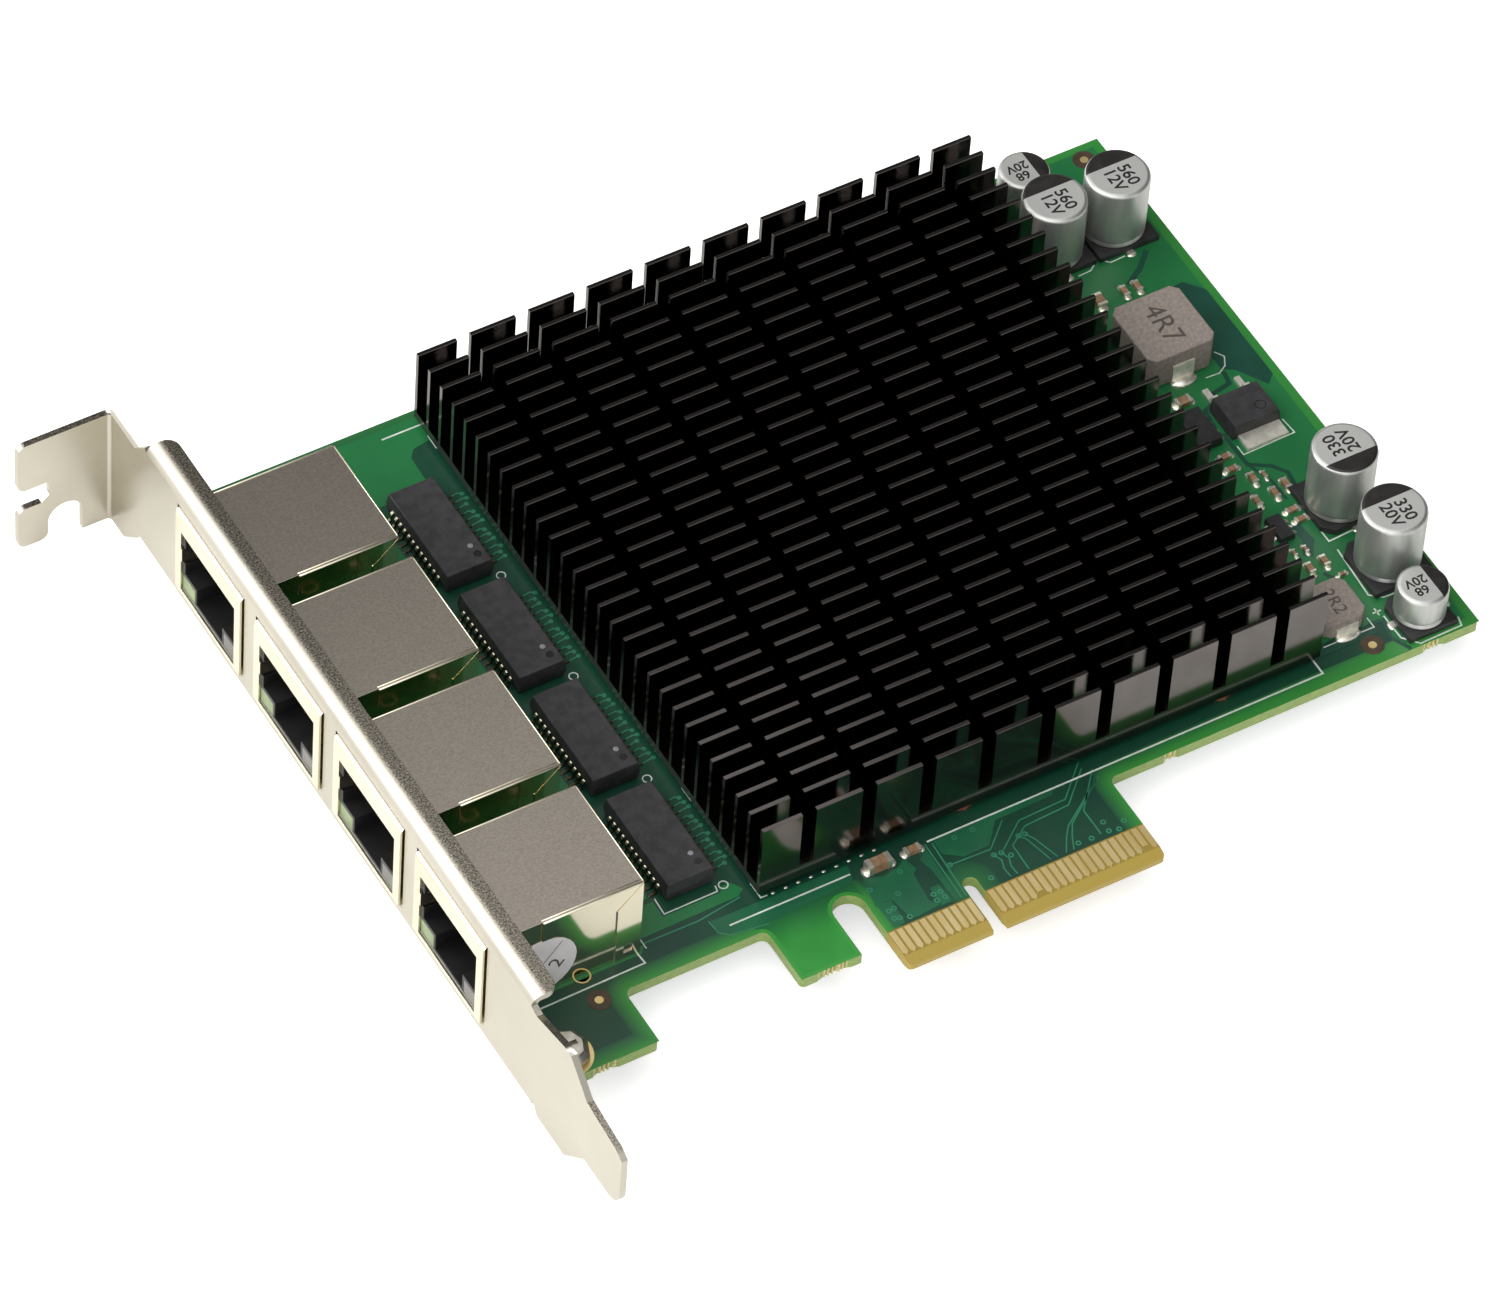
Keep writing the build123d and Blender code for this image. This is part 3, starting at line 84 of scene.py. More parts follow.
def clouds(tree, size, low, high, detail=3.0, stretch=(1, 1, 1)):
    """Two colours mixed by soft noise whose clouds are about size millimetres across."""
    where = add(tree, "TexCoord").outputs["Object"]
    scaled = add(tree, "Mapping", {"Vector": where, "Scale": [s / (size * MM) for s in stretch]})
    cloud = add(tree, "TexNoise", {"Vector": scaled.outputs[0], "Scale": 1.0, "Detail": detail})
    share = add(tree, "MapRange", {0: cloud.outputs[0], 1: NOISE_SPAN[0], 2: NOISE_SPAN[1]})
    return add(tree, "Mix", {0: share.outputs[0], 6: linear(low), 7: linear(high)},
               data_type="RGBA").outputs[2]


def grain(tree, shader, size, depth, stretch=(1, 1, 1), detail=2.0, strength=1.0):
    """Fine bump on a shader, size millimetres across and depth millimetres high."""
    where = add(tree, "TexCoord").outputs["Object"]
    scaled = add(tree, "Mapping", {"Vector": where, "Scale": [s / (size * MM) for s in stretch]})
    noise = add(tree, "TexNoise", {"Vector": scaled.outputs[0], "Scale": 1.0, "Detail": detail})
    bump = add(tree, "Bump", {"Height": noise.outputs[0], "Distance": depth * MM,
                              "Strength": strength})
    tree.links.new(bump.outputs[0], shader.inputs["Normal"])


def place_on_card(tree):
    """X, Y and Z of the surface, as three sockets."""
    return add(tree, "SeparateXYZ", {0: add(tree, "TexCoord").outputs["Object"]}).outputs


def facing_up(tree):
    """How far the surface faces out of the component side, from -1 to 1."""
    return add(tree, "SeparateXYZ", {0: add(tree, "TexCoord").outputs["Normal"]}).outputs[2]


def between(tree, value, low, high):
    """1 where a value lies between two limits, and 0 elsewhere."""
    above = add(tree, "Math", {0: value, 1: low}, operation="GREATER_THAN")
    below = add(tree, "Math", {0: value, 1: high}, operation="LESS_THAN")
    return add(tree, "Math", {0: above.outputs[0], 1: below.outputs[0]},
               operation="MULTIPLY").outputs[0]


def dress(material, slot, *names):
    """Give CAD nodes, whose solids stay as they are, their material."""
    for name in names:
        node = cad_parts[name]
        node.data.materials.clear()
        node.data.materials.append(material)


# Mask over bare laminate, curtain coated and cured: a deep, even gloss with the weave of the
# glass cloth as a faint ripple in its highlights.
laminate, tree, shader = finish("solder_masked_laminate", Roughness=0.32, IOR=1.5)
where = place_on_card(tree)
facing = facing_up(tree)
mask = clouds(tree, 14, MASK_DARKER, MASK_DARK)
bare_x = between(tree, where[0], BARE_SPAN_X[0] * MM, BARE_SPAN_X[1] * MM)
bare_y = between(tree, where[1], -1.0, BARE_BELOW_Y * MM)
bare = add(tree, "Math", {0: bare_x, 1: bare_y}, operation="MULTIPLY").outputs[0]
bevelled = add(tree, "MapRange", {0: where[1], 1: (BEVEL_BELOW_Y + BEVEL_SOFTNESS) * MM,
                                  2: BEVEL_BELOW_Y * MM}).outputs[0]
resin = add(tree, "Mix", {0: bevelled, 6: linear(LAMINATE_BARE), 7: linear(LAMINATE_BEVEL)},
            data_type="RGBA").outputs[2]
face = add(tree, "Mix", {0: bare, 6: mask, 7: resin}, data_type="RGBA").outputs[2]
side = between(tree, facing, -0.5, 0.5)
routed = clouds(tree, 0.9, ROUTED_DARK, ROUTED_LIGHT, stretch=(1, 1, 4))
edge = add(tree, "Mix", {0: bare, 6: routed, 7: linear(BARE_RIM)}, data_type="RGBA").outputs[2]
skin = add(tree, "Mix", {0: side, 6: face, 7: edge}, data_type="RGBA").outputs[2]
tree.links.new(skin, shader.inputs["Base Color"])
grain(tree, shader, WEAVE_PITCH, 0.006)
dress(laminate, "board_laminate", "circuit_board")

# Copper pours under the mask: sheets of copper a few hundredths thick, which lift the mask and
# turn it a brighter green. Dark clearance lines part them round the power parts.
MASK_TOP, BOARD_BACK_Z = 0.035, -1.57
# What is printed or cut on the mask stands a hair above it, and each run of a line above the last,
# so that no two faces share a plane.
LIFT, RUN_LIFT = 0.01, 0.0006
RUN_REACH = 0.8
# Outlines seen from the component side, in millimetres.
POURS_BRIGHT = [
    [(-55.4, 86.0), (-37.0, 86.0), (-37.0, 16.3), (-38.0, 15.4), (-52.0, 15.4), (-55.4, 17.0)],
    [(-36.9, 87.0), (-33.4, 87.0), (-33.4, 22.0), (-36.9, 22.0)],
    [(-55.6, 97.2), (-21.5, 97.2), (-21.5, 93.4), (-22.8, 93.2), (-24.6, 92.9), (-25.5, 91.8),
     (-25.6, 88.2), (-26.6, 86.8), (-36.9, 86.8), (-37.0, 88.6), (-55.6, 88.6)],
    [(52.0, 97.2), (71.2, 97.2), (71.2, 13.7), (62.7, 13.7), (61.9, 15.3), (62.5, 17.9),
     (60.9, 18.2), (52.0, 18.2)],
    [(-37.2, 21.3), (-33.2, 21.3), (-33.2, 18.9), (-25.6, 18.9), (-25.6, 19.6), (-24.0, 19.6),
     (-23.2, 18.2), (-24.2, 17.5), (-37.2, 17.3)],
]
POURS_DEEP = [
    [(-10.6, 13.0), (-8.1, 12.3), (-6.0, 12.7), (-4.9, 13.5), (-4.3, 11.6), (-5.0, 11.0),
     (-5.4, 6.8), (-4.4, 5.8), (-8.0, 5.5), (-8.6, 6.2), (-9.0, 8.8), (-10.2, 9.1), (-11.2, 8.9)],
    [(-3.4, 12.4), (-1.9, 13.6), (-2.2, 5.6), (-2.7, 5.6), (-2.9, 10.6)],
    [(-0.65, 14.0), (-0.65, 12.0), (1.4, 10.5), (4.8, 10.6), (7.2, 13.4), (14.9, 13.5),
     (15.6, 14.4)],
    [(-28.8, 15.8), (-28.8, 14.0), (-27.8, 13.1), (-23.2, 12.7), (-11.6, 13.2), (-11.0, 15.6)],
    [(-4.4, 8.4), (-3.2, 8.4), (-3.1, 5.6), (-4.6, 5.6)],
    [(-11.0, 8.9), (-9.2, 8.9), (-9.4, 5.4), (-10.9, 5.4)],
]
# Each line's points and width.
CLEARANCES = [
    ([(68.0, 79.7), (66.0, 77.8), (63.6, 76.3)], 0.7),
    ([(62.4, 55.4), (61.1, 55.0), (60.5, 51.3), (61.0, 50.6), (61.1, 45.5), (63.5, 44.0),
      (64.7, 42.3), (64.4, 40.1)], 0.55),
    ([(66.2, 59.0), (65.9, 57.3), (62.4, 56.6), (62.4, 55.4)], 0.6),
    ([(61.1, 45.5), (62.3, 41.9), (62.4, 38.9)], 0.4),
    ([(60.2, 30.6), (61.2, 32.2), (61.1, 34.5)], 1.3),
    ([(60.2, 27.0), (61.2, 25.4), (58.2, 25.3)], 0.5),
    ([(63.0, 12.9), (61.9, 15.2), (62.5, 17.9), (60.9, 18.2)], 0.5),
    ([(52.4, 17.2), (60.4, 17.2)], 1.3),
]


def mottle(tree, shader, *pattern, **shape):
    """Clouds of two colours as the shader's own colour."""
    tree.links.new(clouds(tree, *pattern, **shape), shader.inputs["Base Color"])


def piece(name, bm, material, slot, *stands_for):
    """A finished mesh becomes a piece of the card, riding on its one body."""
    mesh = bpy.data.meshes.new(name)
    bmesh.ops.recalc_face_normals(bm, faces=bm.faces)
    bm.to_mesh(mesh)
    bm.free()
    mesh.materials.append(material)
    made = bpy.data.objects.new(name, mesh)
    bpy.context.scene.collection.objects.link(made)
    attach(made, "root")
    if stands_for:
        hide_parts(*stands_for)
    return made


def wrap(bm, rings, smooth=False):
    """Faces round the sides of a stack of rings of vertices."""
    for ring, above in zip(rings, rings[1:]):
        for k in range(len(ring)):
            after = (k + 1) % len(ring)
            bm.faces.new((ring[k], ring[after], above[after], above[k])).smooth = smooth


def prism(bm, outline, z0, z1):
    """A flat plate of an XY outline, in millimetres, between two heights."""
    low = [bm.verts.new((x * MM, y * MM, z0 * MM)) for x, y in outline]
    high = [bm.verts.new((x * MM, y * MM, z1 * MM)) for x, y in outline]
    bm.faces.new(low[::-1])
    bm.faces.new(high)
    wrap(bm, [low, high])


def line(bm, points, width, z0, z1):
    """A printed line or copper trace of one width through XY points."""
    for k, ((x0, y0), (x1, y1)) in enumerate(zip(points, points[1:])):
        along = Vector((x1 - x0, y1 - y0)).normalized() * width / 2
        across = Vector((-along.y, along.x))
        start, end = Vector((x0, y0)) - along * RUN_REACH, Vector((x1, y1)) + along * RUN_REACH
        prism(bm, [start - across, end - across, end + across, start + across], z0,
              z1 + RUN_LIFT * k)


BARE_AREA = [(66.2, 73.3), (69.4, 73.6), (71.3, 71.3), (71.3, 56.2), (70.0, 55.0), (67.6, 58.8),
             (66.2, 59.6)]
BACK_POUR = [(-55.2, 96.9), (71.0, 96.9), (71.0, 14.0), (-55.2, 14.0)]
# Mask over copper, the same coat on a bright ground: a lighter, livelier green.
pour_mask, tree, shader = finish("solder_mask_over_copper", Roughness=0.3, IOR=1.5)
mottle(tree, shader, 9, "#1b6638", "#206f3c")
grain(tree, shader, WEAVE_PITCH, 0.005)
bm = bmesh.new()
for outline in POURS_BRIGHT:
    prism(bm, outline, 0, MASK_TOP)
prism(bm, BACK_POUR, BOARD_BACK_Z - MASK_TOP, BOARD_BACK_Z)
piece("copper_pours", bm, pour_mask, "board_laminate")
# Mask with copper on an inner layer only: a duller green, a little bluer.
deep_mask, tree, shader = finish("solder_mask_over_inner_copper", Roughness=0.3, IOR=1.5)
mottle(tree, shader, 6, "#18553a", "#1d6440")
bm = bmesh.new()
for outline in POURS_DEEP:
    prism(bm, outline, 0, MASK_TOP)
piece("finger_pours", bm, deep_mask, "board_laminate")
# Mask where the copper is etched away: dark, cool lines and one dark area.
gap_mask, tree, shader = finish("solder_mask_over_laminate", Roughness=0.32, IOR=1.5)
mottle(tree, shader, 6, "#123f30", "#17493a")
bm = bmesh.new()
for points, width in CLEARANCES:
    line(bm, points, width, 0, MASK_TOP + 0.5 * LIFT)
prism(bm, BARE_AREA, 0, MASK_TOP + 0.4 * LIFT)
piece("clearance_lines", bm, gap_mask, "board_laminate")

# Lime border: the strip along the routed edge that has no copper on any layer. It glows because
# the pale bench shines through it, most of all right at the edge.
GLOW_WIDTH, FADE_WIDTH = 0.5, 2.2
BORDER_Z, TAB_TOP_Z = 0.02, 0.024
TAB_GLOWS_BELOW_Y, TAB_DARK_ABOVE_Y = 9.0, 13.2
BARE_MARGIN = 0.6


def arc(x, y, radius, start, end, steps=8):
    """Points round part of a circle, angles in degrees."""
    turns = [math.radians(start + (end - start) * k / steps) for k in range(steps + 1)]
    return [(x + radius * math.cos(a), y + radius * math.sin(a)) for a in turns]


BOARD_OUTLINE = ([(-56.5, 98.2), (-56.5, 3.78), (-42.28, 3.78), (-42.28, 10.8)]
                 + arc(-41.28, 10.81, 1.0, 180, 90, 4) + arc(-24.87, 10.81, 1.0, 90, 0, 4)
                 + [(-23.87, 3.78), (-16.04, 3.78)] + arc(-13.995, 9.955, 2.045, 180, 0)
                 + [(-11.95, 0.0), (-0.95, 0.0)] + arc(0, 6.8, 0.95, 180, 0)
                 + [(0.95, 0.0), (21.9, 0.0), (21.9, 11.58)] + arc(22.9, 11.58, 1.0, 180, 90, 4)
                 + [(72.4, 12.58), (72.4, 98.2)])
TAB_AREA = ([(-23.37, 4.28), (-16.54, 4.28)] + arc(-13.995, 9.955, 2.545, 180, 20)
            + [(-11.6, 13.4), (-24.87, 13.4)] + arc(-24.87, 10.81, 1.5, 90, 0, 4))


def border_glow(x, y, ring):
    """How much of the bench shows through: at the edge, half a millimetre in, and where it ends."""
    if x > 52:  # beyond the sink
        return (1.0, 0.65, 0.45)[ring]
    if y > 96:  # top edge
        return (0.4, 0.15, 0.0)[ring]
    if abs(x) < 2.9:  # key notch
        return (0.7, 0.2, 0.0)[ring]
    if -24.6 < x < -11.4:  # guide tab
        return (1.0, 0.85, 0.7)[ring]
    return (1.0, 0.75, 0.0)[ring]


# Laminate with no copper, lit through by the bench: lime at the rim, fading to the board's teal.
lime, tree, shader = finish("backlit_laminate", Roughness=0.32, IOR=1.5)
edge_share = add(tree, "Attribute", attribute_name="edge_share").outputs["Fac"]
fade = add(tree, "Mix", {0: edge_share, 6: linear("#164a31"), 7: linear("#3a9538")},
           data_type="RGBA")
tree.links.new(fade.outputs[2], shader.inputs["Base Color"])
bm = bmesh.new()
share = bm.verts.layers.float.new("edge_share")
rim = bm.faces.new([bm.verts.new((x * MM, y * MM, 0)) for x, y in BOARD_OUTLINE])
for vert in rim.verts:
    vert[share] = border_glow(vert.co.x / MM, vert.co.y / MM, 0)
for ring, width in ((1, GLOW_WIDTH), (2, FADE_WIDTH)):
    bmesh.ops.inset_region(bm, faces=[rim], thickness=width * MM, use_even_offset=True,
                           use_boundary=True)
    for vert in rim.verts:
        vert[share] = border_glow(vert.co.x / MM, vert.co.y / MM, ring)
bm.faces.remove(rim)
bmesh.ops.bisect_plane(bm, geom=bm.verts[:] + bm.edges[:] + bm.faces[:], dist=0.0001 * MM,
                       plane_co=(0, BARE_BELOW_Y * MM, 0), plane_no=(0, 1, 0))
for face in bm.faces[:]:
    x, y, _ = face.calc_center_median() / MM
    if y < BARE_BELOW_Y and BARE_SPAN_X[0] - BARE_MARGIN < x < BARE_SPAN_X[1] + BARE_MARGIN:
        bm.faces.remove(face)
bmesh.ops.translate(bm, verts=bm.verts, vec=(0, 0, BORDER_Z * MM))
piece("lime_border", bm, lime, "board_laminate")
# The same laminate all over the guide tab, which holds no copper: an even, slightly cloudy glow.
tab_green, tree, shader = finish("backlit_tab", Roughness=0.32, IOR=1.5)
above = place_on_card(tree)[1]
fade = add(tree, "MapRange", {0: above, 1: TAB_GLOWS_BELOW_Y * MM,
                              2: TAB_DARK_ABOVE_Y * MM}).outputs[0]
glowing = clouds(tree, 5, "#24802f", "#2d8a34")
skin = add(tree, "Mix", {0: fade, 6: glowing, 7: linear("#175533")}, data_type="RGBA").outputs[2]
tree.links.new(skin, shader.inputs["Base Color"])
bm = bmesh.new()
prism(bm, TAB_AREA, 0, TAB_TOP_Z)
piece("lime_tab", bm, tab_green, "board_laminate")

# Break-off nibs: the card was routed from a larger panel and then snapped from it at drilled
# bridges, so short stubs of torn glass fibre stay on the lower edge.
NIB_SPANS = [(-21.8, -17.2, 3.78), (-50.8, -47.4, 3.78), (29.4, 31.4, 12.58), (64.7, 67.8, 12.58)]
NIB_PITCH, NIB_ROOT, NIB_BACK_Z = 0.62, 0.5, -1.5
NIB_HALF_WIDTH, NIB_TIP_HALF_WIDTH = 0.2, 0.1
# Snapped glass fibre: dry, pale stubs with no gloss.
torn, tree, shader = finish("torn_glass_fibre", Roughness=0.85, IOR=1.5)
mottle(tree, shader, 0.3, "#b9ad6a", "#ddd6a4")
bm = bmesh.new()
for start, end, y in NIB_SPANS:
    for k in range(int((end - start) / NIB_PITCH)):
        x = start + NIB_PITCH * (k + 0.5)
        lean = 0.12 * ((k * 5) % 3 - 1)
        tip = y + 0.06 + 0.1 * ((k * 3) % 4) / 3
        prism(bm, [(x - NIB_HALF_WIDTH, y + NIB_ROOT), (x + NIB_HALF_WIDTH, y + NIB_ROOT),
                   (x + NIB_TIP_HALF_WIDTH + lean, tip), (x - NIB_TIP_HALF_WIDTH + lean, tip)],
              NIB_BACK_Z, 0)
piece("break_off_nibs", bm, torn, "board_laminate")

# Traces: fine copper lines etched under the mask, from the fingers up to the chips. Each ends in
# a plated via, and short pairs fan out from the modules toward the chips under the sink.
TRACE_SHARE = 0.75
VIA_RADIUS, VIA_HOLE = 0.36, 0.17
FAN_VIA_RADIUS, FAN_VIA_HOLE = 0.28, 0.13
FAN_START_X, FAN_END_X, FAN_TRACE_WIDTH = -24.3, -23.2, 0.16
MODULE_YS = [27.7 + 17.1 * row for row in range(4)]
LEAD_OFFSETS = [k - 5.5 for k in range(12)]
# Each trace's points and width. The width is thinned by a share, as the mask rounds it off.
TRACES = [
    ([(20.0, 16.2), (15.9, 12.3), (9.6, 12.1), (5.9, 9.3)], 0.22),
    ([(19.9, 15.3), (15.8, 11.4), (9.8, 11.1), (7.1, 9.3), (7.0, 5.6)], 0.22),
    ([(20.5, 13.1), (14.2, 8.8), (13.1, 7.4), (12.0, 5.6)], 0.22),
    ([(21.0, 13.4), (14.8, 8.9), (13.8, 7.3), (13.0, 5.6)], 0.22),
    ([(20.9, 14.6), (16.9, 9.9), (16.9, 6.1)], 0.22),
    ([(-0.7, 10.2), (4.6, 10.0), (7.9, 13.0)], 0.22),
    ([(8.4, 10.2), (9.0, 9.3), (9.9, 5.6)], 0.2),
    ([(9.2, 10.1), (9.8, 9.0), (10.8, 5.6)], 0.2),
    ([(4.5, 9.1), (4.9, 8.0), (4.5, 6.9), (4.6, 5.6)], 0.2),
    ([(5.4, 9.0), (5.8, 7.9), (5.4, 6.8), (5.5, 5.6)], 0.2),
    ([(-1.7, 14.0), (-1.9, 5.6)], 0.25),
    ([(-0.9, 13.8), (-1.3, 5.6)], 0.25),
    ([(-37.6, 16.6), (-30.0, 16.5), (-24.2, 17.3)], 0.25),
    ([(-29.0, 15.9), (-28.8, 14.0), (-27.8, 13.1), (-23.2, 12.5)], 0.2),
]
VIAS = [(1.8, 13.4), (4.2, 13.4), (-4.5, 7.4), (-3.6, 7.4), (-4.6, 6.5), (-3.5, 6.5), (-10.2, 7.7),
        (-9.5, 7.8), (-10.2, 6.5), (-9.6, 6.3), (-8.5, 5.9), (-0.7, 10.2), (4.5, 9.1), (5.4, 9.0),
        (2.5, 6.4), (8.4, 10.2), (9.2, 10.1), (6.2, 8.2), (13.9, 6.1), (15.6, 6.0), (17.9, 6.0),
        (19.1, 5.7), (18.0, 7.4), (20.2, 6.5), (-10.6, 11.3), (-8.0, 9.4), (-6.2, 12.0)]


def oval(bm, x, y, z, radius_x, radius_y, sides):
    """A ring of vertices round an ellipse at one height."""
    turns = [math.tau * k / sides for k in range(sides)]
    return [bm.verts.new(((x + radius_x * math.cos(a)) * MM, (y + radius_y * math.sin(a)) * MM,
                          z * MM)) for a in turns]


def disc(bm, x, y, radius, z0, z1, hole=0, sides=20):
    """A round plate, or a ring if it has a hole."""
    rims = [(radius, z0), (radius, z1)] + ([(hole, z1), (hole, z0)] if hole else [])
    rings = [oval(bm, x, y, z, across, across, sides) for across, z in rims]
    if hole:
        rings.append(rings[0])
    else:
        bm.faces.new(rings[0][::-1])
        bm.faces.new(rings[1])
    wrap(bm, rings)


bm = bmesh.new()
for points, width in TRACES:
    line(bm, points, width * TRACE_SHARE, 0, MASK_TOP)
for x, y in VIAS:
    disc(bm, x, y, VIA_RADIUS, 0, MASK_TOP + LIFT, hole=VIA_HOLE, sides=14)
for row, centre in enumerate(MODULE_YS):
    for k, offset in enumerate(LEAD_OFFSETS):
        y = centre + offset
        reach = FAN_END_X + 0.5 * ((k * 7 + row * 3) % 4) / 3
        end_y = y - 0.2 * (k % 3 - 1)
        line(bm, [(FAN_START_X, y), (reach - 0.5, y + 0.15), (reach, end_y)], FAN_TRACE_WIDTH, 0,
             MASK_TOP)
        disc(bm, reach, end_y, FAN_VIA_RADIUS, 0, MASK_TOP + LIFT, hole=FAN_VIA_HOLE, sides=12)
# Mask over fine traces: slightly raised, lighter lines that keep the mask's gloss.
trace_mask, tree, shader = finish("masked_trace", Roughness=0.3, IOR=1.5)
mottle(tree, shader, 7, "#2a6f52", "#33805e")
piece("traces_and_vias", bm, trace_mask, "board_laminate")

# Legend: white epoxy ink, screened on the mask in thin lines round the heat sink and the larger
# parts, with a small ring by the first lead of each module.
INK_TOP = MASK_TOP + 2 * LIFT
# Each stroke's points and width.
LEGEND = [
    ([(-27.1, 14.3), (-11.5, 14.3)], 0.22), ([(-1.2, 14.3), (52.0, 14.35), (52.0, 16.45)], 0.22),
    ([(-27.1, 95.86), (-21.9, 95.86)], 0.22),
    ([(-52.5, 13.9), (-38.25, 14.1), (-38.4, 16.0)], 0.2),
    ([(-32.8, 21.5), (-32.9, 19.15), (-25.95, 19.2), (-25.8, 19.95)], 0.15),
    ([(63.3, 38.7), (63.3, 31.0), (67.3, 31.2), (71.4, 31.2)], 0.2),
    ([(63.5, 29.4), (63.0, 21.9), (64.4, 20.8), (67.5, 20.7)], 0.2),
    ([(62.9, 18.35), (62.9, 14.7), (64.5, 12.9), (70.2, 13.0), (70.5, 14.2)], 0.2),
    ([(58.9, 80.1), (60.6, 80.2), (61.8, 81.1), (61.9, 82.4)], 0.18),
    ([(62.2, 82.5), (62.4, 81.2), (63.4, 80.2), (65.4, 80.3)], 0.18),
    ([(66.9, 62.3), (67.6, 61.2), (66.9, 59.9), (65.7, 59.2), (63.9, 59.3)], 0.15),
    ([(68.5, 49.6), (68.7, 47.2), (61.5, 47.0), (61.5, 48.4)], 0.15),
    ([(54.2, 17.6), (61.0, 17.5), (61.0, 19.0)], 0.15),
    ([(62.0, 19.3), (63.0, 19.3)], 0.18), ([(62.5, 18.8), (62.5, 19.8)], 0.18),
    ([(-22.07, 18.4), (-22.07, 16.1), (-21.3, 16.1)], 0.16),
    ([(-22.05, 34.05), (-22.05, 32.0)], 0.16), ([(-22.1, 93.9), (-22.1, 91.8)], 0.16),
    ([(-37.1, 15.9), (-37.1, 17.6)], 0.16), ([(-36.0, 20.6), (-34.4, 21.9)], 0.16),
]
RINGS = [(-24.9, 19.7, 0.62, 0.47), (-24.9, 71.3, 0.6, 0.46), (-24.9, 54.2, 0.6, 0.46),
         (-24.9, 37.1, 0.6, 0.46)]
# Cured ink: an eggshell white, dimmed by the green below it.
ink, tree, shader = finish("white_legend_ink", Roughness=0.55, IOR=1.5)
mottle(tree, shader, 2, "#b9c4bb", "#d3dad2")
bm = bmesh.new()
for points, width in LEGEND:
    line(bm, points, width, 0, INK_TOP)
for x, y, radius, hole in RINGS:
    disc(bm, x, y, radius, 0, INK_TOP, hole=hole)
piece("printed_legend", bm, ink, "board_laminate")

# Fiducials, rings and contacts: gold-plated copper in windows of the mask. Brown laminate shows
# round each fiducial, each leg hole has a rim and each bracket screw a land, and the contact
# fingers carry the same gold, plated thicker.
FIDUCIAL_RADIUS, FIDUCIAL_WINDOW = 0.52, 1.45
JACK_YS = [80.3 - 18.96 * k for k in range(4)]
LEG_X, LEG_OFFSET = -45.45, 7.6
LEG_RING, LEG_HOLE = 1.07, 0.9
SCREW_X, SCREW_YS = -52.6, (7.0, 92.9)
SCREW_LAND, SCREW_HOLE = 3.3, 1.7
FIDUCIALS = [(59.4, 15.3), (-45.4, 11.95), (69.2, 95.9)]
# Bare laminate in a window of the mask: resin brown with a soft sheen.
brown, tree, shader = finish("bare_laminate_window", Roughness=0.4, IOR=1.5)
mottle(tree, shader, 1.5, "#3a2f22", "#4a3c2c")
bm = bmesh.new()
for x, y in FIDUCIALS:
    disc(bm, x, y, FIDUCIAL_WINDOW, 0, MASK_TOP + LIFT)
piece("fiducial_windows", bm, brown, "board_laminate")
# Hard gold over nickel, electroplated and wiped: pale, warm and a little hazy. It is kept just
# under fully metallic, as worn plating is. Its real 0.02 mm brushing is drawn at 0.15 mm to show.
gold, tree, shader = finish("plated_gold", Metallic=0.8, Roughness=0.33)
mottle(tree, shader, 2, "#ecd08c", "#f8e2a8", stretch=(1, 0.2, 1))
grain(tree, shader, 0.15, 0.002, stretch=(2, 0.5, 1))
bm = bmesh.new()
for x, y in FIDUCIALS:
    disc(bm, x, y, FIDUCIAL_RADIUS, 0, MASK_TOP + 3 * LIFT)
for y in JACK_YS:
    for side in (-1, 1):
        disc(bm, LEG_X, y + side * LEG_OFFSET, LEG_RING, BOARD_BACK_Z - 0.03, MASK_TOP + 2 * LIFT,
             hole=LEG_HOLE)
for y in SCREW_YS:
    disc(bm, SCREW_X, y, SCREW_LAND, 0, MASK_TOP + LIFT, hole=SCREW_HOLE, sides=32)
piece("gold_rings", bm, gold, "gold_pads")
dress(gold, "gold_pads", "edge_contacts")

# Bracket: one blank of steel, folded and nickel plated. The plate is smooth with a warm tint, and
# the rolled texture of the sheet shows as speckle on the flanges, which are painted dark there as a
# painted reflection of the dim room above them.
FLANGE_FACING = (0.93, 0.99)
UPRIGHT_GRAIN = 0.08


def shade(mesh, angle):
    """Smooth shading that keeps large faces flat: each corner's normal is weighted by face area."""
    mesh.shade_smooth()
    around = [[] for _ in mesh.vertices]
    for face in mesh.polygons:
        for vertex in face.vertices:
            around[vertex].append(face)
    limit = math.cos(math.radians(angle))
    normals = []
    for face in mesh.polygons:
        for vertex in face.vertices:
            total = Vector()
            for other in around[vertex]:
                if other.normal.dot(face.normal) > limit:
                    total += other.normal * other.area
            normals.append(total.normalized())
    mesh.normals_split_custom_set(normals)
    return normals


def eased(name, nodes, material, slot, bevel, segments=2, angle=32, lengthwise=False):
    """A CAD solid's own mesh with its sharp edges eased, as the piece that stands for it."""
    bm = bmesh.new()
    for node in nodes:
        bm.from_mesh(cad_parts[node].data)
    bmesh.ops.remove_doubles(bm, verts=bm.verts, dist=0.002 * MM)
    bmesh.ops.dissolve_limit(bm, angle_limit=math.radians(1), verts=bm.verts, edges=bm.edges)
    sharp = [e for e in bm.edges if len(e.link_faces) == 2
             and e.calc_face_angle(0) > math.radians(angle)
             and (not lengthwise or abs(e.verts[0].co.x - e.verts[1].co.x) > 0.9 * e.calc_length())]
    bmesh.ops.bevel(bm, geom=sharp, offset=bevel * MM, segments=segments, profile=0.7,
                    affect="EDGES", clamp_overlap=True)
    bmesh.ops.dissolve_degenerate(bm, dist=0.001 * MM, edges=bm.edges)
    made = piece(name, bm, material, slot, *nodes)
    shade(made.data, angle)
    return made
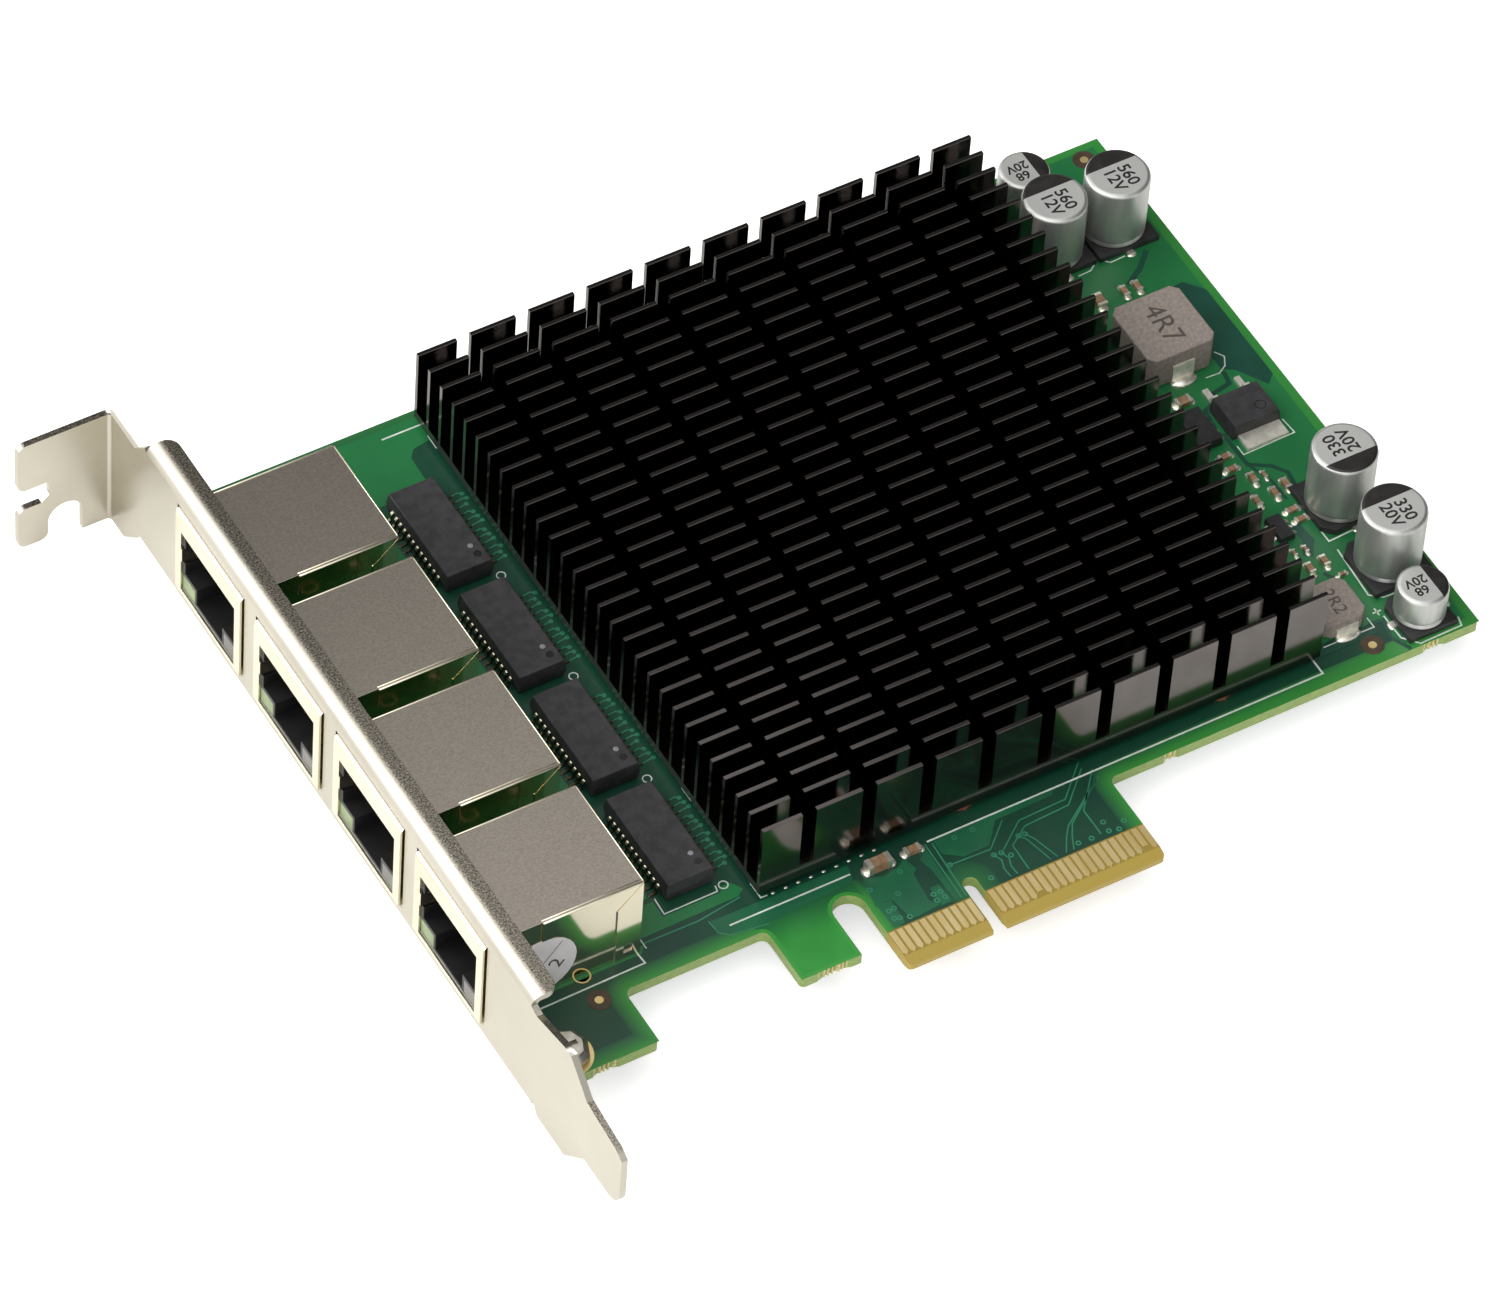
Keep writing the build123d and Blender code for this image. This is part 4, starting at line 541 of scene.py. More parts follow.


# Rolled sheet, barrel plated with satin nickel: even and warm where it stands upright, while the
# flange that faces up shows the rolled grain as speckle and is painted darker, as a painted
# reflection of the dim room above it. Real specks are about 0.1 mm wide and are drawn twice as
# coarse, to show.
nickel, tree, shader = finish("nickel_plated_steel", Metallic=1.0, Roughness=0.28)
tone = clouds(tree, 0.22, "#565148", "#bfb7a8")
smooth = clouds(tree, 18, "#bdb8aa", "#c8c3b6")
facing = facing_up(tree)
upward = add(tree, "MapRange", {0: facing, 1: FLANGE_FACING[0], 2: FLANGE_FACING[1]}).outputs[0]
# Faces that look up take the darker, speckled colour: painted reflection over the real grain.
skin = add(tree, "Mix", {0: upward, 6: smooth, 7: tone}, data_type="RGBA").outputs[2]
tree.links.new(skin, shader.inputs["Base Color"])
rough_share = add(tree, "MapRange", {0: upward, 3: UPRIGHT_GRAIN, 4: 1.0}).outputs[0]
grain(tree, shader, 0.28, 0.02, strength=rough_share)
plate = eased("bracket", ["mounting_bracket"], nickel, "bracket_steel", 0.08)
# The real fold is softer than its radius alone, so its normals lean over a wider strip, which
# spreads the white line that it mirrors. The shape stays as modelled.
BEND_FRONT_X, BEND_EASE, BEND_MIDDLE_SHARE = -58.23, 2.3, 0.72
bm = bmesh.new()
bm.from_mesh(plate.data)
for reach in (BEND_EASE, BEND_EASE * BEND_MIDDLE_SHARE):
    bmesh.ops.bisect_plane(bm, geom=bm.verts[:] + bm.edges[:] + bm.faces[:], dist=0.001 * MM,
                           plane_co=((BEND_FRONT_X + reach) * MM, 0, 0), plane_no=(1, 0, 0))
bm.to_mesh(plate.data)
bm.free()
normals = shade(plate.data, 32)
for face in plate.data.polygons:
    for vertex, corner in zip(face.vertices, face.loop_indices):
        along = (plate.data.vertices[vertex].co.x / MM - BEND_FRONT_X) / BEND_EASE
        if normals[corner].z > 0.2 and abs(normals[corner].y) < 0.1 and -0.01 < along < 1:
            lean = math.asin(min(1.0, 1 - along))
            normals[corner] = Vector((-math.sin(lean), 0, math.cos(lean)))
plate.data.normals_split_custom_set(normals)

# Screws: cold-headed steel with a cross recess, zinc plated. Two pan heads hold the board to the
# bracket's ears, and four hold the sink from below.
# Bright zinc gives small, hard glints with a faint haze, whose crystals are drawn at 0.2 mm.
zinc, tree, shader = finish("zinc_plated_steel", Metallic=1.0, Roughness=0.28)
mottle(tree, shader, 1.2, "#b7b3a8", "#dddacf")
grain(tree, shader, 0.2, 0.008)
eased("pan_head_screws", ["bracket_screws"], zinc, "screw_steel", 0.12)
eased("sink_fixing_screws", ["heat_sink_screws"], zinc, "screw_steel", 0.12)

# Jack shells: thin tin-plated sheet, stamped, folded round the moulding and hemmed at the corners.
# The tops are faintly rolled and painted a darker grey as painted shade, the sides mirror the
# board below them.
SHELL_TOP_FACING = (0.75, 0.98)
SIDE_ROUGHNESS, TOP_ROUGHNESS = 0.1, 0.3
HEM_Z, HEM_REAR_X, REAR_HEM_X = 12.93, -38.2, -38.14
# Each hem along a shell's side: where it starts, how far from the middle, its radius.
SIDE_HEMS = ((-51.0, -7.76, 0.15), (-51.0, -7.34, 0.1), (-54.5, 7.74, 0.11))
REAR_HEM_RADIUS = 0.08
ROD_SIDES, ROD_SHOULDER = 8, 0.6
# Tin plate: the tops have a light brushing and are painted a soft grey, as painted shade of the dim
# room they mirror, and the sides are bright and mirror the board. The brushing is really about
# 0.02 mm wide and is drawn at 0.2 mm, so that it shows.
tin, tree, shader = finish("tin_plated_sheet", Metallic=1.0, Roughness=0.24)
brushed_top_painted_shade = clouds(tree, 0.2, "#ada397", "#beb5a9", detail=2, stretch=(0.6, 1, 1))
plain = clouds(tree, 12, "#ddd6be", "#e8e1cb")
facing = facing_up(tree)
upward = add(tree, "MapRange", {0: facing, 1: SHELL_TOP_FACING[0],
                                2: SHELL_TOP_FACING[1]}).outputs[0]
# Faces that look up take the painted shade; the sides keep the plain, brighter tin.
skin = add(tree, "Mix", {0: upward, 6: plain, 7: brushed_top_painted_shade}, data_type="RGBA").outputs[2]
tree.links.new(skin, shader.inputs["Base Color"])
roughness = add(tree, "MapRange", {0: upward, 3: SIDE_ROUGHNESS, 4: TOP_ROUGHNESS})
tree.links.new(roughness.outputs[0], shader.inputs["Roughness"])
grain(tree, shader, 0.2, 0.0006, stretch=(0.5, 1, 1), strength=upward)


def rod(bm, start, end, radius):
    """A straight rounded bar between two points, in millimetres."""
    start, end = Vector(start), Vector(end)
    along = (end - start).normalized()
    side = along.orthogonal().normalized()
    turns = [Matrix.Rotation(math.tau * (k + 0.5) / ROD_SIDES, 3, along) for k in range(ROD_SIDES)]
    ease = along * radius * ROD_SHOULDER
    rings = [[bm.verts.new((spot + turn @ side * radius * share) * MM) for turn in turns]
             for spot, share in ((start, 0.5), (start + ease, 1), (end - ease, 1), (end, 0.5))]
    bm.faces.new(rings[0][::-1])
    bm.faces.new(rings[-1])
    wrap(bm, rings, smooth=True)


# Folded edge of the same plate, burnished by the press, with rub marks of about 0.3 mm; its paler
# colour is a painted highlight, which makes it a thin, bright line.
hem_tin, tree, shader = finish("tin_hem_painted_highlight", Metallic=1.0, Roughness=0.3)
mottle(tree, shader, 3, "#e9e2c8", "#f6f1dc")
grain(tree, shader, 0.3, 0.002)
bm = bmesh.new()
for y in JACK_YS:
    for start, offset, radius in SIDE_HEMS:
        rod(bm, (start, y + offset, HEM_Z), (HEM_REAR_X, y + offset, HEM_Z), radius)
    rod(bm, (REAR_HEM_X, y - LEG_OFFSET, HEM_Z), (REAR_HEM_X, y + LEG_OFFSET, HEM_Z),
        REAR_HEM_RADIUS)
piece("shell_hems", bm, hem_tin, "shield_steel")
for number in range(1, 5):
    eased("shell_%d" % number, ["jack_shield_%d" % number], tin, "shield_steel", 0.14, segments=3)

# Jack insides: the black moulded insert, its sprung gold wires, and the two light guides, a
# green one on one side and a clear one on the other. They are pressed together before the shell
# is folded round them.
INSERT_EASE, GUIDE_EASE = 0.06, 0.1
# Glass-filled nylon from an eroded mould: dull black, so that the cavity reads as a deep hole. The
# mould's 0.05 mm texture is drawn at 0.25 mm.
housing, tree, shader = finish("moulded_black_nylon", Roughness=0.45, IOR=1.5)
mottle(tree, shader, 3, "#0d0d0e", "#141415")
grain(tree, shader, 0.25, 0.01)
for number in range(1, 5):
    eased("insert_%d" % number, ["jack_housing_%d" % number], housing, "housing_plastic",
          INSERT_EASE, segments=1)
    dress(gold, "contact_gold", "jack_contacts_%d" % number)
# Moulded acrylic with a glossy face, faintly green from the diode behind it.
green_guide, tree, shader = finish("green_light_guide", Roughness=0.3, IOR=1.49)
mottle(tree, shader, 2, "#66784f", "#7d8f62")
# The same acrylic left uncoloured, frosted, which looks grey against the black.
clear_guide, tree, shader = finish("frosted_light_guide", Roughness=0.35, IOR=1.49)
mottle(tree, shader, 2, "#5f5d58", "#716f69")
eased("green_guides", ["activity_light_guides"], green_guide, "green_guide", GUIDE_EASE)
eased("clear_guides", ["link_light_guides"], clear_guide, "clear_guide", GUIDE_EASE)

# Transformer modules: black epoxy mouldings, finely matte, with a round pin-one dimple and a
# paint dot, on two rows of tinned gull-wing leads with their solder.
MODULE_X, MODULE_HALF_WIDTH, MODULE_EASE = -28.8, 3.15, 0.18
MARK_BOTTOM_Z = 2.85
DOT_X, DOT_DROP, DOT_RADIUS, DOT_TOP_Z = -27.15, 4.2, 0.33, 2.915
DIMPLE_X, DIMPLE_DROP, DIMPLE_RADIUS, DIMPLE_TOP_Z = -26.95, 5.6, 0.5, 2.905
# Transfer-moulded epoxy: charcoal with a broad, soft sheen. The mould's 0.03 mm texture is drawn
# at 0.12 mm, so that it shows.
epoxy, tree, shader = finish("black_moulded_epoxy", Roughness=0.5, IOR=1.5)
mottle(tree, shader, 1.2, "#262527", "#353335")
grain(tree, shader, 0.12, 0.012)
# Mark of a polished mould pin: darker and glossier than the texture round it.
dimple, tree, shader = finish("glossy_dimple", Roughness=0.25, IOR=1.5)
mottle(tree, shader, 0.6, "#141314", "#1d1c1d")
# Pad-printed paint: a small, flat grey dot.
paint, tree, shader = finish("grey_paint_dot", Roughness=0.6, IOR=1.5)
mottle(tree, shader, 0.5, "#77757a", "#8f8d91")
# Reflowed tin solder: smooth and silvery, with small white glints on its 0.3 mm ripples. A film of
# flux keeps it just under fully metallic.
solder, tree, shader = finish("bright_solder", Metallic=0.85, Roughness=0.3)
mottle(tree, shader, 0.7, "#dcd9cb", "#f6f3e6")
grain(tree, shader, 0.3, 0.006)
for number in range(1, 5):
    eased("module_%d" % number, ["transformer_body_%d" % number], epoxy, "epoxy_black",
          MODULE_EASE, segments=3, angle=20)
dots, dimples = bmesh.new(), bmesh.new()
for y in MODULE_YS:
    disc(dots, DOT_X, y - DOT_DROP, DOT_RADIUS, MARK_BOTTOM_Z, DOT_TOP_Z)
    disc(dimples, DIMPLE_X, y - DIMPLE_DROP, DIMPLE_RADIUS, MARK_BOTTOM_Z, DIMPLE_TOP_Z)
piece("module_paint_dots", dots, paint, "epoxy_black")
piece("module_dimples", dimples, dimple, "epoxy_black")


def dome(bm, x, y, z, radius_x, radius_y, height, sides=10, up=1):
    """A rounded bump of solder that stands on a face of the board."""
    rings = [oval(bm, x, y, z + up * height * math.sin(tilt), radius_x * math.cos(tilt),
                  radius_y * math.cos(tilt), sides) for tilt in (0, 0.45, 0.95)]
    wrap(bm, rings, smooth=True)
    bm.faces.new(rings[-1]).smooth = True
    bm.faces.new(rings[0][::-1])


def wing(bm, x, y, out, width, top, reach):
    """One gull-wing lead: out of the body, down, and along the board."""
    heel, sheet = reach * 0.22, 0.2
    profile = [(0, top), (heel * 0.5, top - 0.03), (heel, top - 0.2), (heel + 0.12, sheet + 0.2),
               (heel + 0.36, sheet), (reach, sheet), (reach, 0), (heel + 0.2, 0),
               (heel - 0.06, 0.16), (heel - 0.16, top - 0.3), (heel * 0.2, top - sheet - 0.05),
               (0, top - sheet)]
    cheeks = [[bm.verts.new(((x + out * u) * MM, (y + v) * MM, w * MM)) for u, w in profile]
              for v in (-width / 2, width / 2)]
    bm.faces.new(cheeks[0])
    bm.faces.new(cheeks[1][::-1])
    wrap(bm, cheeks)


# Tinned copper leads: bright on the shoulders, which catch the lamp, and dark olive lower down,
# where they mirror the board.
LEAD_DARK_BELOW_Z, LEAD_BRIGHT_ABOVE_Z = 0.9, 1.15
LEAD_WIDTH, LEAD_TOP_Z, LEAD_REACH = 0.36, 1.45, 1.2
TOE_OFFSET, TOE_SOLDER = 4.3, (0.32, 0.24, 0.16)
lead, tree, shader = finish("tinned_lead_frame", Metallic=1.0, Roughness=0.35)
rise = place_on_card(tree)[2]
shoulder = add(tree, "MapRange", {0: rise, 1: LEAD_DARK_BELOW_Z * MM,
                                  2: LEAD_BRIGHT_ABOVE_Z * MM}).outputs[0]
bright = clouds(tree, 0.5, "#e6dfc0", "#fbf6de")
tone = add(tree, "Mix", {0: shoulder, 6: linear("#5a5848"), 7: bright}, data_type="RGBA")
tree.links.new(tone.outputs[2], shader.inputs["Base Color"])
for number, centre in enumerate(MODULE_YS, start=1):
    bm = bmesh.new()
    for offset in LEAD_OFFSETS:
        y = centre + offset
        for out in (-1, 1):
            wing(bm, MODULE_X + out * MODULE_HALF_WIDTH, y, out, LEAD_WIDTH, LEAD_TOP_Z, LEAD_REACH)
            dome(bm, MODULE_X + out * TOE_OFFSET, y, 0, *TOE_SOLDER)
    piece("module_leads_%d" % number, bm, lead, "tinned_leads", "transformer_leads_%d" % number)

# Solder joints under the board: wave soldering leaves a cone round each jack pin, a larger one
# round each leg of the shells, and two more round the moulding's pins on each side.
PIN_X, PIN_STAGGER, PIN_PITCH = -50.6, 2.54, 1.27
SIDE_PIN_XS, SIDE_PIN_OFFSET = (-44.3, -46.8), 5.9
LEG_JOINT, PIN_JOINT = (1.15, 1.15, 0.75), (0.7, 0.7, 0.6)
bm = bmesh.new()
for y in JACK_YS:
    for side in (-1, 1):
        dome(bm, LEG_X, y + side * LEG_OFFSET, BOARD_BACK_Z, *LEG_JOINT, sides=14, up=-1)
        for x in SIDE_PIN_XS:
            dome(bm, x, y + side * SIDE_PIN_OFFSET, BOARD_BACK_Z, *PIN_JOINT, up=-1)
    for k in range(8):
        dome(bm, PIN_X + PIN_STAGGER * (k % 2), y + PIN_PITCH * (k - 3.5), BOARD_BACK_Z, *PIN_JOINT,
             up=-1)
piece("joints_under_board", bm, solder, "tinned_leads")

# Chips in the sink's shadow: the square controller and four line chips with fine leads, each with
# a soft grey pad that carries its heat up to the sink.
LINE_CHIP_YS = [26.67 + 17.1 * row for row in range(4)]
CHIP_FRONT_X, FOOT_TIP_X, FOOT_HEEL_X = -20.8, -21.75, -21.0
FOOT_HALF_WIDTH, FOOT_PITCH, FOOT_SOLDER = 0.2, 1.01, (0.36, 0.26, 0.2)
DOTS_START_X, DOTS_Y, DOTS_PITCH, DOTS_COUNT = -20.5, 16.1, 1.66, 9
DOT_SOLDER = (0.3, 0.22, 0.16)
# Fine epoxy moulding, a little darker and glossier than the modules. Its 0.02 mm texture is drawn
# at 0.1 mm.
chip, tree, shader = finish("chip_moulding", Roughness=0.42, IOR=1.5)
mottle(tree, shader, 1.0, "#1c1c1e", "#29292b")
grain(tree, shader, 0.1, 0.008)
eased("controller", ["main_controller"], chip, "epoxy_black", 0.1)
eased("line_chips", ["line_chip_%d" % k for k in range(1, 5)], chip, "epoxy_black", 0.1)
# Silicone pad filled with ceramic powder: chalky grey and seen only from the side, with lumps of
# about 0.4 mm.
pad, tree, shader = finish("grey_thermal_pad", Roughness=0.8, IOR=1.45)
mottle(tree, shader, 1.0, "#86888a", "#9a9c9e")
grain(tree, shader, 0.4, 0.02)
dress(pad, "thermal_pad", "thermal_pads")
bm = bmesh.new()
for centre in LINE_CHIP_YS:
    for offset in LEAD_OFFSETS:
        y = centre + FOOT_PITCH * offset
        low, high = y - FOOT_HALF_WIDTH, y + FOOT_HALF_WIDTH
        for x, bottom, top in ((FOOT_TIP_X, 0, 0.14), (FOOT_HEEL_X, 0.1, 0.5)):
            prism(bm, [(x, low), (CHIP_FRONT_X, low), (CHIP_FRONT_X, high), (x, high)], bottom, top)
        dome(bm, FOOT_TIP_X, y, 0, *FOOT_SOLDER)
piece("line_chip_feet", bm, solder, "tinned_leads", "line_chip_leads")
bm = bmesh.new()
for k in range(DOTS_COUNT):
    dome(bm, DOTS_START_X + DOTS_PITCH * k, DOTS_Y, 0, *DOT_SOLDER)
piece("tinned_dots", bm, solder, "tinned_leads")

# Heat sink: an extruded aluminium comb, sawn across into blades and finished in glossy black, so
# that its outer faces mirror the bench and the board and the lanes between the blades stay dark.
# Anodised after sawing and sealed glossy: a near-black mirror with a faint warm cast.
black_gloss, tree, shader = finish("black_anodised_aluminium", Metallic=1.0, Roughness=0.13)
mottle(tree, shader, 4, "#66615f", "#6f6a67")
eased("finned_sink", ["heat_sink"], black_gloss, "sink_metal", 0.05, segments=1, angle=20,
      lengthwise=True)
# Hardened, stacked paper: a dull red brown ring where the sink stands off the board. Its 0.03 mm
# fibres are drawn at 0.2 mm.
fibre, tree, shader = finish("brown_vulcanised_fibre", Roughness=0.6, IOR=1.5)
mottle(tree, shader, 0.8, "#5d3320", "#7a4a30")
grain(tree, shader, 0.2, 0.01)
eased("fibre_washers", ["heat_sink_spacers"], fibre, "washer_fibre", 0.08)

# Can capacitors: drawn aluminium cans with a rolled groove at the foot and a rounded top rim, in
# black moulded bases. A black segment on the top marks the negative side, with plain ratings.
SEGMENT_EDGE, PRINT_Z = 0.36, -0.012
CROWN_FACING = (0.95, 0.995)
# Each can's place, diameter and height, the way its mark faces, and its figures.
CANS = [(66.3, 84.8, 8.0, 10.0, 90, "560", "12V"), (57.6, 84.9, 8.0, 10.0, 90, "560", "12V"),
        (59.0, 93.7, 6.3, 5.6, 0, "68", "20V"), (67.3, 35.6, 8.0, 10.0, 270, "330", "20V"),
        (67.5, 25.1, 8.0, 10.0, 90, "330", "20V"), (66.6, 16.7, 6.3, 5.6, 0, "68", "20V")]
# The tabs, measured outward from the can's wall.
TAB_INNER, TAB_OUTER, TAB_SOLDER_SPOT = -0.15, 0.75, 0.6
TAB_HALF_WIDTH, TAB_BOTTOM_Z, TAB_TOP_EDGE = 0.45, 0.02, 0.28


def turned(bm, x, y, profile, sides=64):
    """A round body turned from (radius, height) points, closed at both ends."""
    rings = [oval(bm, x, y, z, radius, radius, sides) for radius, z in profile]
    bm.faces.new(rings[0][::-1])
    bm.faces.new(rings[-1])
    wrap(bm, rings, smooth=True)


# Drawn aluminium, etched and lacquered: silvery with a soft upright sheen and a pale, matte crown.
# The lacquer takes it a little under fully metallic. Its 0.05 mm drawing lines are drawn at 0.4 mm.
satin, tree, shader = finish("satin_aluminium", Metallic=0.85, Roughness=0.4)
drawn = clouds(tree, 1.5, "#b2b4b0", "#c3c4c0", stretch=(1, 1, 0.15))
facing = facing_up(tree)
crown = add(tree, "MapRange", {0: facing, 1: CROWN_FACING[0], 2: CROWN_FACING[1]}).outputs[0]
skin = add(tree, "Mix", {0: crown, 6: drawn, 7: linear("#f2f2ee")}, data_type="RGBA").outputs[2]
tree.links.new(skin, shader.inputs["Base Color"])
grain(tree, shader, 0.4, 0.004, stretch=(1, 1, 0.1))
# Ink on the lacquer: black with a gloss of its own.
print_black, tree, shader = finish("black_can_print", Roughness=0.35, IOR=1.5)
mottle(tree, shader, 1.5, "#1d1b1a", "#2a2726")
# Base of phenolic plastic from a fine mould: black with a soft highlight. Its 0.05 mm texture is
# drawn at 0.2 mm.
moulded, tree, shader = finish("black_moulded_base", Roughness=0.45, IOR=1.5)
mottle(tree, shader, 2, "#1c1b1c", "#2a292a")
grain(tree, shader, 0.2, 0.01)


def lettering(name, words, size, material, slot, spot, bold=0.0):
    """Plain figures printed on a face, as a thin mesh; spot is their place and turn."""
    curve = bpy.data.curves.new(name, "FONT")
    curve.body = "\n".join(words)
    curve.size = size * MM
    curve.align_x = "CENTER"
    curve.align_y = "CENTER"
    curve.space_line = 0.86
    curve.extrude = 0.004 * MM
    curve.offset = bold * MM
    curve.resolution_u = 3
    shape = bpy.data.objects.new(name + "_outline", curve)
    mesh = bpy.data.meshes.new_from_object(shape)
    bpy.data.objects.remove(shape)
    bm = bmesh.new()
    bm.from_mesh(mesh)
    bmesh.ops.transform(bm, matrix=spot, verts=bm.verts)
    return piece(name, bm, material, slot)


def on_top(x, y, z, turn):
    """A place on a face that looks up, in millimetres, turned by degrees."""
    return (Matrix.Translation((x * MM, y * MM, z * MM))
            @ Matrix.Rotation(math.radians(turn), 4, "Z"))


def on_part(u, v, lengthwise):
    """A place along and across a part, as one along and across the card."""
    return (u, v) if lengthwise else (-v, u)


def segment(bm, x, y, rings, edge, turn, steps=24):
    """The printed segment of a can's top, over (radius, height) rings, beyond a straight edge."""
    rows = []
    for radius, z in rings:
        half = math.degrees(math.acos(edge / radius))
        rows.append([bm.verts.new((u * MM, v * MM, z * MM))
                     for u, v in arc(x, y, radius, turn - half, turn + half, steps)])
    bm.faces.new(rows[0])
    for row, beyond in zip(rows, rows[1:]):
        for k in range(steps):
            bm.faces.new((row[k], row[k + 1], beyond[k + 1], beyond[k])).smooth = True


tabs = bmesh.new()
for number, (x, y, diameter, height, turn, rating, volts) in enumerate(CANS, start=1):
    r = diameter / 2
    for side in (-1, 1):
        u, v = on_part(side * (r + TAB_SOLDER_SPOT), 0, not turn)
        dome(tabs, x + u, y + v, 0, *((0.7, 0.5) if turn else (0.5, 0.7)), 0.26)
        near, far, half = side * (r + TAB_INNER), side * (r + TAB_OUTER), TAB_HALF_WIDTH
        ends = [on_part(*end, not turn)
                for end in ((near, -half), (far, -half), (far, half), (near, half))]
        prism(tabs, [(x + u, y + v) for u, v in ends], TAB_BOTTOM_Z, TAB_TOP_EDGE)
    bm = bmesh.new()
    # From the foot up: the rolled groove, the straight wall and the rounded rim.
    turned(bm, x, y, [(r - 0.25, 0.9), (r - 0.05, 0.98), (r - 0.02, 1.12), (r - 0.3, 1.36),
                      (r - 0.3, 1.5), (r - 0.02, 1.78), (r, 1.95), (r, height - 0.55),
                      (r - 0.05, height - 0.33), (r - 0.17, height - 0.15),
                      (r - 0.36, height - 0.05), (r - 0.55, height - 0.02)])
    piece("can_%d" % number, bm, satin, "can_aluminium", "capacitor_can_%d" % number)
    bm = bmesh.new()
    rings = [(r - 0.55, height + PRINT_Z), (r - 0.36, height - 0.04), (r - 0.17, height - 0.137)]
    segment(bm, x, y, rings, SEGMENT_EDGE * r, turn)
    piece("can_mark_%d" % number, bm, print_black, "can_aluminium")
    back = math.radians(turn + 180)
    middle = (x + r * 0.2 * math.cos(back), y + r * 0.2 * math.sin(back))
    lettering("can_rating_%d" % number, [rating, volts], diameter * 0.28, print_black,
              "can_aluminium", on_top(*middle, height + PRINT_Z, turn - 180), bold=0.035)
    eased("base_%d" % number, ["capacitor_base_%d" % number], moulded, "base_plastic", 0.15)
piece("capacitor_tabs", tabs, solder, "tinned_leads")

# Inductors: blocks pressed from grey iron powder round a coil, matte, with an inked value and
# flat tinned terminals folded up at two ends.
INDUCTOR_VALUES = [("4R7", 3.8, 61.2, 65.4, 5.0), ("2R2", 2.4, 57.6, 21.3, 2.5)]
TERMINAL_SOLDER = [(61.25, 60.15, 1.9, 1.1, 0.75), (61.25, 70.75, 1.9, 1.0, 0.75),
                   (57.6, 17.75, 1.8, 0.8, 0.5), (57.6, 24.95, 1.8, 0.8, 0.5)]
# Grains of iron powder in resin: a dry, speckled warm grey. The grains are about 0.1 mm wide and
# are drawn at 0.25 to 0.5 mm, so that they show.
powder, tree, shader = finish("pressed_iron_powder", Roughness=0.7, IOR=1.5)
mottle(tree, shader, 0.5, "#776e67", "#8b8179", detail=5)
grain(tree, shader, 0.25, 0.02)
# Ink that sinks in between the grains: dark grey with no gloss.
grey_ink, tree, shader = finish("dark_grey_ink", Roughness=0.6, IOR=1.5)
mottle(tree, shader, 0.5, "#3e3833", "#4b443f")
eased("power_inductor_1", ["inductor_body_1"], powder, "inductor_powder", 0.3, segments=3)
eased("power_inductor_2", ["inductor_body_2"], powder, "inductor_powder", 0.2, segments=3)
for number, (value, size, x, y, z) in enumerate(INDUCTOR_VALUES, start=1):
    lettering("inductor_value_%d" % number, [value], size, grey_ink, "inductor_powder",
              on_top(x, y, z, -90))
# Dull tin over copper strip: pale and soft, well under a mirror, so it is only partly metallic.
# Its dipped skin ripples every 0.5 mm.
strip, tree, shader = finish("tinned_copper_strip", Metallic=0.6, Roughness=0.42)
mottle(tree, shader, 0.9, "#d3d1c4", "#ece9dc")
grain(tree, shader, 0.5, 0.006)
eased("folded_terminals", ["inductor_terminals"], strip, "tinned_leads", 0.06)
bm = bmesh.new()
for x, y, width, out, height in TERMINAL_SOLDER:
    dome(bm, x, y, 0, width, out, height, sides=16)
piece("terminal_solder", bm, solder, "tinned_leads")

# Power switch, regulator and driver: moulded packages whose tinned tabs and leads are soldered flat
# to their pads.
SWITCH_TOP_Z, EJECTOR_SPOT = 2.3, (66.2, 51.2)
EJECTOR_RADIUS, EJECTOR_HOLE = 0.7, 0.6
eased("switch_moulding", ["power_switch_body"], epoxy, "epoxy_black", 0.12)
eased("switch_tab", ["power_switch_tab"], strip, "tinned_leads", 0.06)
bm = bmesh.new()
disc(bm, *EJECTOR_SPOT, EJECTOR_RADIUS, SWITCH_TOP_Z, SWITCH_TOP_Z + LIFT, hole=EJECTOR_HOLE,
     sides=24)
piece("switch_ejector_mark", bm, dimple, "epoxy_black")
eased("regulator", ["regulator_chip"], chip, "epoxy_black", 0.06)
eased("driver", ["driver_chip"], chip, "epoxy_black", 0.06)
eased("small_leads", ["small_chip_leads"], solder, "tinned_leads", 0.03, segments=1)

# Chip capacitors and resistors: sintered ceramic blocks with silvery end caps, each end in a
# glossy fillet of solder on its pads.
BODY_EASE, PART_BOTTOM_Z = 0.04, 0.02
# Each part's place, length, width and height, and whether it lies along the card.
CHIPS = [(-8.1, 13.7, 3.1, 1.4, 1.4, True), (-3.5, 13.9, 2.0, 1.1, 0.6, True),
         (60.3, 43.1, 1.6, 0.8, 0.8, False), (61.9, 43.1, 1.0, 0.5, 0.5, False),
         (63.3, 40.6, 1.6, 0.8, 0.8, False), (61.5, 40.1, 1.6, 0.8, 0.6, False),
         (59.0, 40.0, 1.6, 0.8, 0.5, False), (61.9, 37.0, 1.6, 0.8, 0.5, True),
         (62.1, 35.3, 1.6, 0.8, 0.5, True), (58.6, 31.2, 1.0, 0.5, 0.5, False),
         (60.1, 31.1, 1.0, 0.5, 0.5, False), (61.0, 28.4, 1.6, 0.8, 0.8, False),
         (58.9, 28.2, 1.6, 0.8, 0.8, False), (61.9, 25.9, 1.0, 0.5, 0.5, True),
         (59.2, 47.6, 1.6, 0.8, 0.5, True), (58.9, 45.6, 1.6, 0.8, 0.5, True),
         (64.1, 75.3, 1.6, 0.8, 0.6, False), (62.3, 75.3, 1.6, 0.8, 0.6, False),
         (58.7, 75.2, 2.0, 1.25, 1.0, False), (59.3, 57.1, 2.0, 1.25, 0.8, True)]
